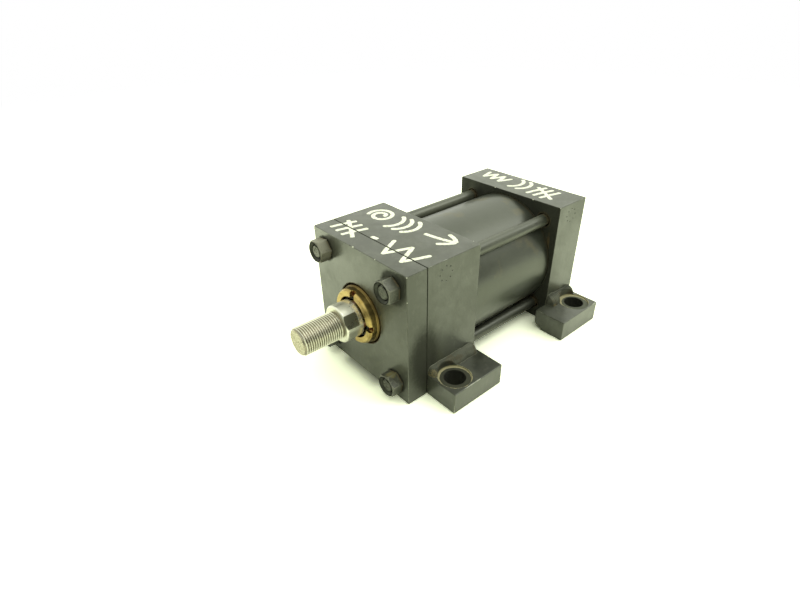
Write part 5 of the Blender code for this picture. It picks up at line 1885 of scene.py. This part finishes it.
def arrow(length, barb):
    """A shaft with two barbs at its end."""
    return [
        [(0.0, 0.6), (length * 0.5, -0.4), (length, 0.0)],
        [(length - barb, barb * 0.8), (length - barb * 0.4, barb * 0.45), (length, 0.0)],
        [(length - barb, -barb * 0.8), (length - barb * 0.4, -barb * 0.40), (length, 0.0)],
    ]


print("marks ready")

# %% A stroke as a thin film
PEN_WIDTH = 2.9
FILM = 0.07 * MM


def smooth_point(points, share):
    """A point on a smooth curve through the given points, at a share from 0 to 1."""
    place = share * (len(points) - 1)
    number = min(int(place), len(points) - 2)
    part = place - number
    before = Vector(points[max(number - 1, 0)])
    start_point = Vector(points[number])
    stop_point = Vector(points[number + 1])
    after = Vector(points[min(number + 2, len(points) - 1)])
    bend = (stop_point - before) * 0.5
    turn_out = (after - start_point) * 0.5
    square = part * part
    cube = square * part
    return (
        start_point * (2 * cube - 3 * square + 1)
        + bend * (cube - 2 * square + part)
        + stop_point * (3 * square - 2 * cube)
        + turn_out * (cube - square)
    )


def draw(shape, marks, x, y, turn=0.0, seed=0.0):
    """Add marks to a bmesh, their start at x, y on the top, turned in plan."""
    rotation = Matrix.Rotation(math.radians(turn), 2)
    for number, points in enumerate(marks):
        length = sum((Vector(b) - Vector(a)).length for a, b in zip(points, points[1:]))
        steps = max(12, round(length / 0.45))

        def section_at(u, v):
            here = smooth_point(points, v)
            ahead = smooth_point(points, min(1.0, v + 0.01)) - smooth_point(points, max(0.0, v - 0.01))
            across = Vector((-ahead.y, ahead.x)).normalized()
            from_end = min(v, 1 - v) * length / (PEN_WIDTH * 0.45)
            nib = math.sqrt(max(0.12, 1 - max(0.0, 1 - from_end) ** 2))
            shake = 1 + 0.16 * noise.noise(Vector((v * length * 0.55, seed + number, 0.0)))
            turn_round = math.tau * u
            side_noise = noise.noise(
                Vector((v * length * 1.6, seed + number, 4.0 if math.cos(turn_round) > 0 else 9.0))
            )
            half = PEN_WIDTH / 2 * nib * (shake + 0.10 * side_noise)
            flat = rotation @ (here + across * (half * math.cos(turn_round)))
            return ((x + flat.x) * MM, (y + flat.y) * MM, TOP + FILM * math.sin(turn_round))

        swept(section_at, 16, steps, shape)


def fasten_marks(name, shape, low=None, high=None):
    """Trim marks to the part of a top between two places along Y, and fasten them."""
    for limit, direction in ((low, -1.0), (high, 1.0)):
        if limit is None:
            continue
        cut = bmesh.ops.bisect_plane(
            shape,
            geom=shape.verts[:] + shape.edges[:] + shape.faces[:],
            dist=0.0001 * MM,
            plane_co=(0.0, limit, 0.0),
            plane_no=(0.0, direction, 0.0),
            clear_outer=True,
        )["geom_cut"]
        open_edges = [item for item in cut if isinstance(item, bmesh.types.BMEdge)]
        bmesh.ops.holes_fill(shape, edges=open_edges, sides=0)
    bmesh.ops.dissolve_degenerate(shape, dist=0.001 * MM, edges=shape.edges)
    bmesh.ops.recalc_face_normals(shape, faces=shape.faces)
    shape.normal_update()
    wrong = [face for face in shape.faces if face.normal.z * (face.calc_center_median().z - TOP) < 0]
    bmesh.ops.reverse_faces(shape, faces=wrong)
    ends = [face for face in shape.faces if abs(face.normal.z) < 0.5]
    wrong = [face for face in ends if not any(edge.is_contiguous for edge in face.edges)]
    bmesh.ops.reverse_faces(shape, faces=wrong)
    settle(to_object(name, shape), marker, "cylinder", "block_steel")


# %% Draw marks on the tops
front_row = bmesh.new()
draw(front_row, tally(3, 7.4, 19.0, True), -36.5, -12.5, turn=-6.0, seed=1.0)
draw(front_row, [[(0.0, 0.0), (6.0, 0.8)]], -7.0, -11.0, seed=2.0)
draw(front_row, zigzag(31.0, 17.5, 2), 8.0, -12.0, turn=4.0, seed=3.0)
head_row = front_row.copy()
draw(head_row, spiral(10.0, 1.6), -29.5, 15.0, seed=5.0)
draw(head_row, arcs(3, 7.2, 11.5), -10.0, 15.5, turn=8.0, seed=6.0)
draw(head_row, arrow(24.0, 10.0), 13.0, 16.0, turn=14.0, seed=7.0)
cap_row = bmesh.new()
cap_middle = (cap_low.y + cap_high.y) / 2 / MM
draw(cap_row, zigzag(24.0, 12.0, 3), -39.0, cap_middle + 4.0, turn=-4.0, seed=8.0)
draw(cap_row, arcs(2, 7.5, 11.0), -2.0, cap_middle + 3.0, seed=9.0)
draw(cap_row, tally(3, 6.6, 20.0, True), 13.0, cap_middle + 1.5, turn=-6.0, seed=10.0)
JOINT_MARGIN = 0.44 * MM
fasten_marks("marker_on_plate", front_row, high=plate_high.y - JOINT_MARGIN)
fasten_marks("marker_on_head", head_row, low=head_low.y + JOINT_MARGIN)
fasten_marks("marker_on_cap", cap_row)

# %% [markdown]
# ## Floor, world and lamps
#
# What the eye reads as the colour of dark, oiled steel is mostly the reflection
# of what stands round it. So the room matters: a white floor, a pale wall behind
# and to the left, a dim side to the right, and one large soft lamp high behind.
# The floor is shown brighter than it shines on the object, so that the picture's
# ground is white while the steel keeps its own tone and its shadow.

# %% Floor
FLOOR_HIDDEN = color(0.72, 0.74, 0.66)
FLOOR_MIRRORED = color(1.10, 1.145, 0.94)
FLOOR_MIRRORED_LEFT = color(1.62, 1.67, 1.40)
FLOOR_SHOWN = color(1.72, 1.78, 1.47)
# FLOOR_SHADOW_UNDER is a painted shadow: under the object's footprint the floor is shown darker to the
# camera.
FLOOR_SHADOW_UNDER = color(0.30, 0.31, 0.26)
FOOTPRINT_MIDDLE = (0.0, (plate_low.y + cap_high.y) / 2, 0.0)
FOOTPRINT_HALF = (14.0 * MM, (cap_high.y - plate_low.y) / 2 - 2.0 * MM, 0.0)
WHITE = color(1.0, 1.0, 1.0)


floor_material = bpy.data.materials.new("pale_floor")
floor_material.use_nodes = True
tree = floor_material.node_tree
tree.nodes.clear()
path = put(tree, "LightPath").outputs
mirrored = calc(tree, "MAXIMUM", path["Is Glossy Ray"], path["Is Transmission Ray"])
seen = calc(tree, "MAXIMUM", path["Is Camera Ray"], mirrored)
place = put(tree, "TexCoord").outputs["Object"]
to_left = smooth_step(tree, put(tree, "SeparateXYZ", {0: place}).outputs[0], -0.04, -0.30)
in_mirror = mix_color(tree, to_left, FLOOR_MIRRORED, FLOOR_MIRRORED_LEFT)
shade = mix_color(tree, mirrored, FLOOR_HIDDEN, in_mirror)
flat_place = vector_calc(tree, "MULTIPLY", place, (1.0, 1.0, 0.0))
from_footprint = vector_calc(tree, "SUBTRACT", flat_place, FOOTPRINT_MIDDLE)
from_footprint = vector_calc(
    tree, "SUBTRACT", vector_calc(tree, "ABSOLUTE", from_footprint), FOOTPRINT_HALF
)
beside = vector_calc(tree, "LENGTH", vector_calc(tree, "MAXIMUM", from_footprint, (0.0, 0.0, 0.0)))
# Painted shadow: the camera sees the floor darker close under the object.
shown = mix_color(tree, smooth_step(tree, beside, 0.0, 14.0 * MM), FLOOR_SHADOW_UNDER, FLOOR_SHOWN)
shade = mix_color(tree, path["Is Camera Ray"], shade, shown)
near = put(tree, "BsdfDiffuse", {"Color": shade}).outputs[0]
far = put(tree, "Emission", {"Color": WHITE, "Strength": 1.0}).outputs[0]
from_middle = vector_calc(tree, "LENGTH", place)
fade = calc(tree, "MULTIPLY", smooth_step(tree, from_middle, 0.45, 1.4), seen)
both = put(tree, "MixShader", {0: fade, 1: near, 2: far}).outputs[0]
put(tree, "OutputMaterial", {"Surface": both})

disc = bmesh.new()
bmesh.ops.create_circle(disc, cap_ends=True, segments=96, radius=12.0)
floor = to_object("floor", disc)
floor.data.materials.append(floor_material)

# %% World
world = bpy.data.worlds.new("studio")
bpy.context.scene.world = world
world.use_nodes = True
tree = world.node_tree
tree.nodes.clear()
direction = put(tree, "TexCoord").outputs["Generated"]
height = put(tree, "SeparateXYZ", {0: direction}).outputs[2]
WALL_BRIGHT = color(1.10, 1.14, 0.98)
WALL_DIM = color(0.13, 0.14, 0.11)
CEILING = color(1.32, 1.37, 1.18)
BRIGHT_SIDE = (-0.80, 0.60, 0.0)
side = vector_calc(tree, "DOT_PRODUCT", direction, BRIGHT_SIDE)
walls = mix_color(tree, smooth_step(tree, side, -0.45, 0.25), WALL_DIM, WALL_BRIGHT)
sky = mix_color(tree, smooth_step(tree, height, 0.40, 0.70), walls, CEILING)
shown = mix_color(tree, put(tree, "LightPath").outputs["Is Camera Ray"], sky, WHITE)
surface = put(tree, "Background", {"Color": shown, "Strength": 1.0}).outputs[0]
put(tree, "OutputWorld", {"Surface": surface})


# %% Lamps
def softbox(name, place, target, size, power):
    """A square area lamp that looks at a point."""
    lamp = bpy.data.lights.new(name, "AREA")
    lamp.shape = "SQUARE"
    lamp.size = size
    lamp.energy = power
    obj = bpy.data.objects.new(name, lamp)
    direction = Vector(target) - Vector(place)
    obj.location = place
    obj.rotation_euler = direction.to_track_quat("-Z", "Y").to_euler()
    obj.visible_camera = False
    bpy.context.scene.collection.objects.link(obj)


middle = (0.0, 0.05, 0.05)
softbox("high_box", (0.70, 0.90, 1.60), middle, 1.6, 11.5)
print("lamps set")
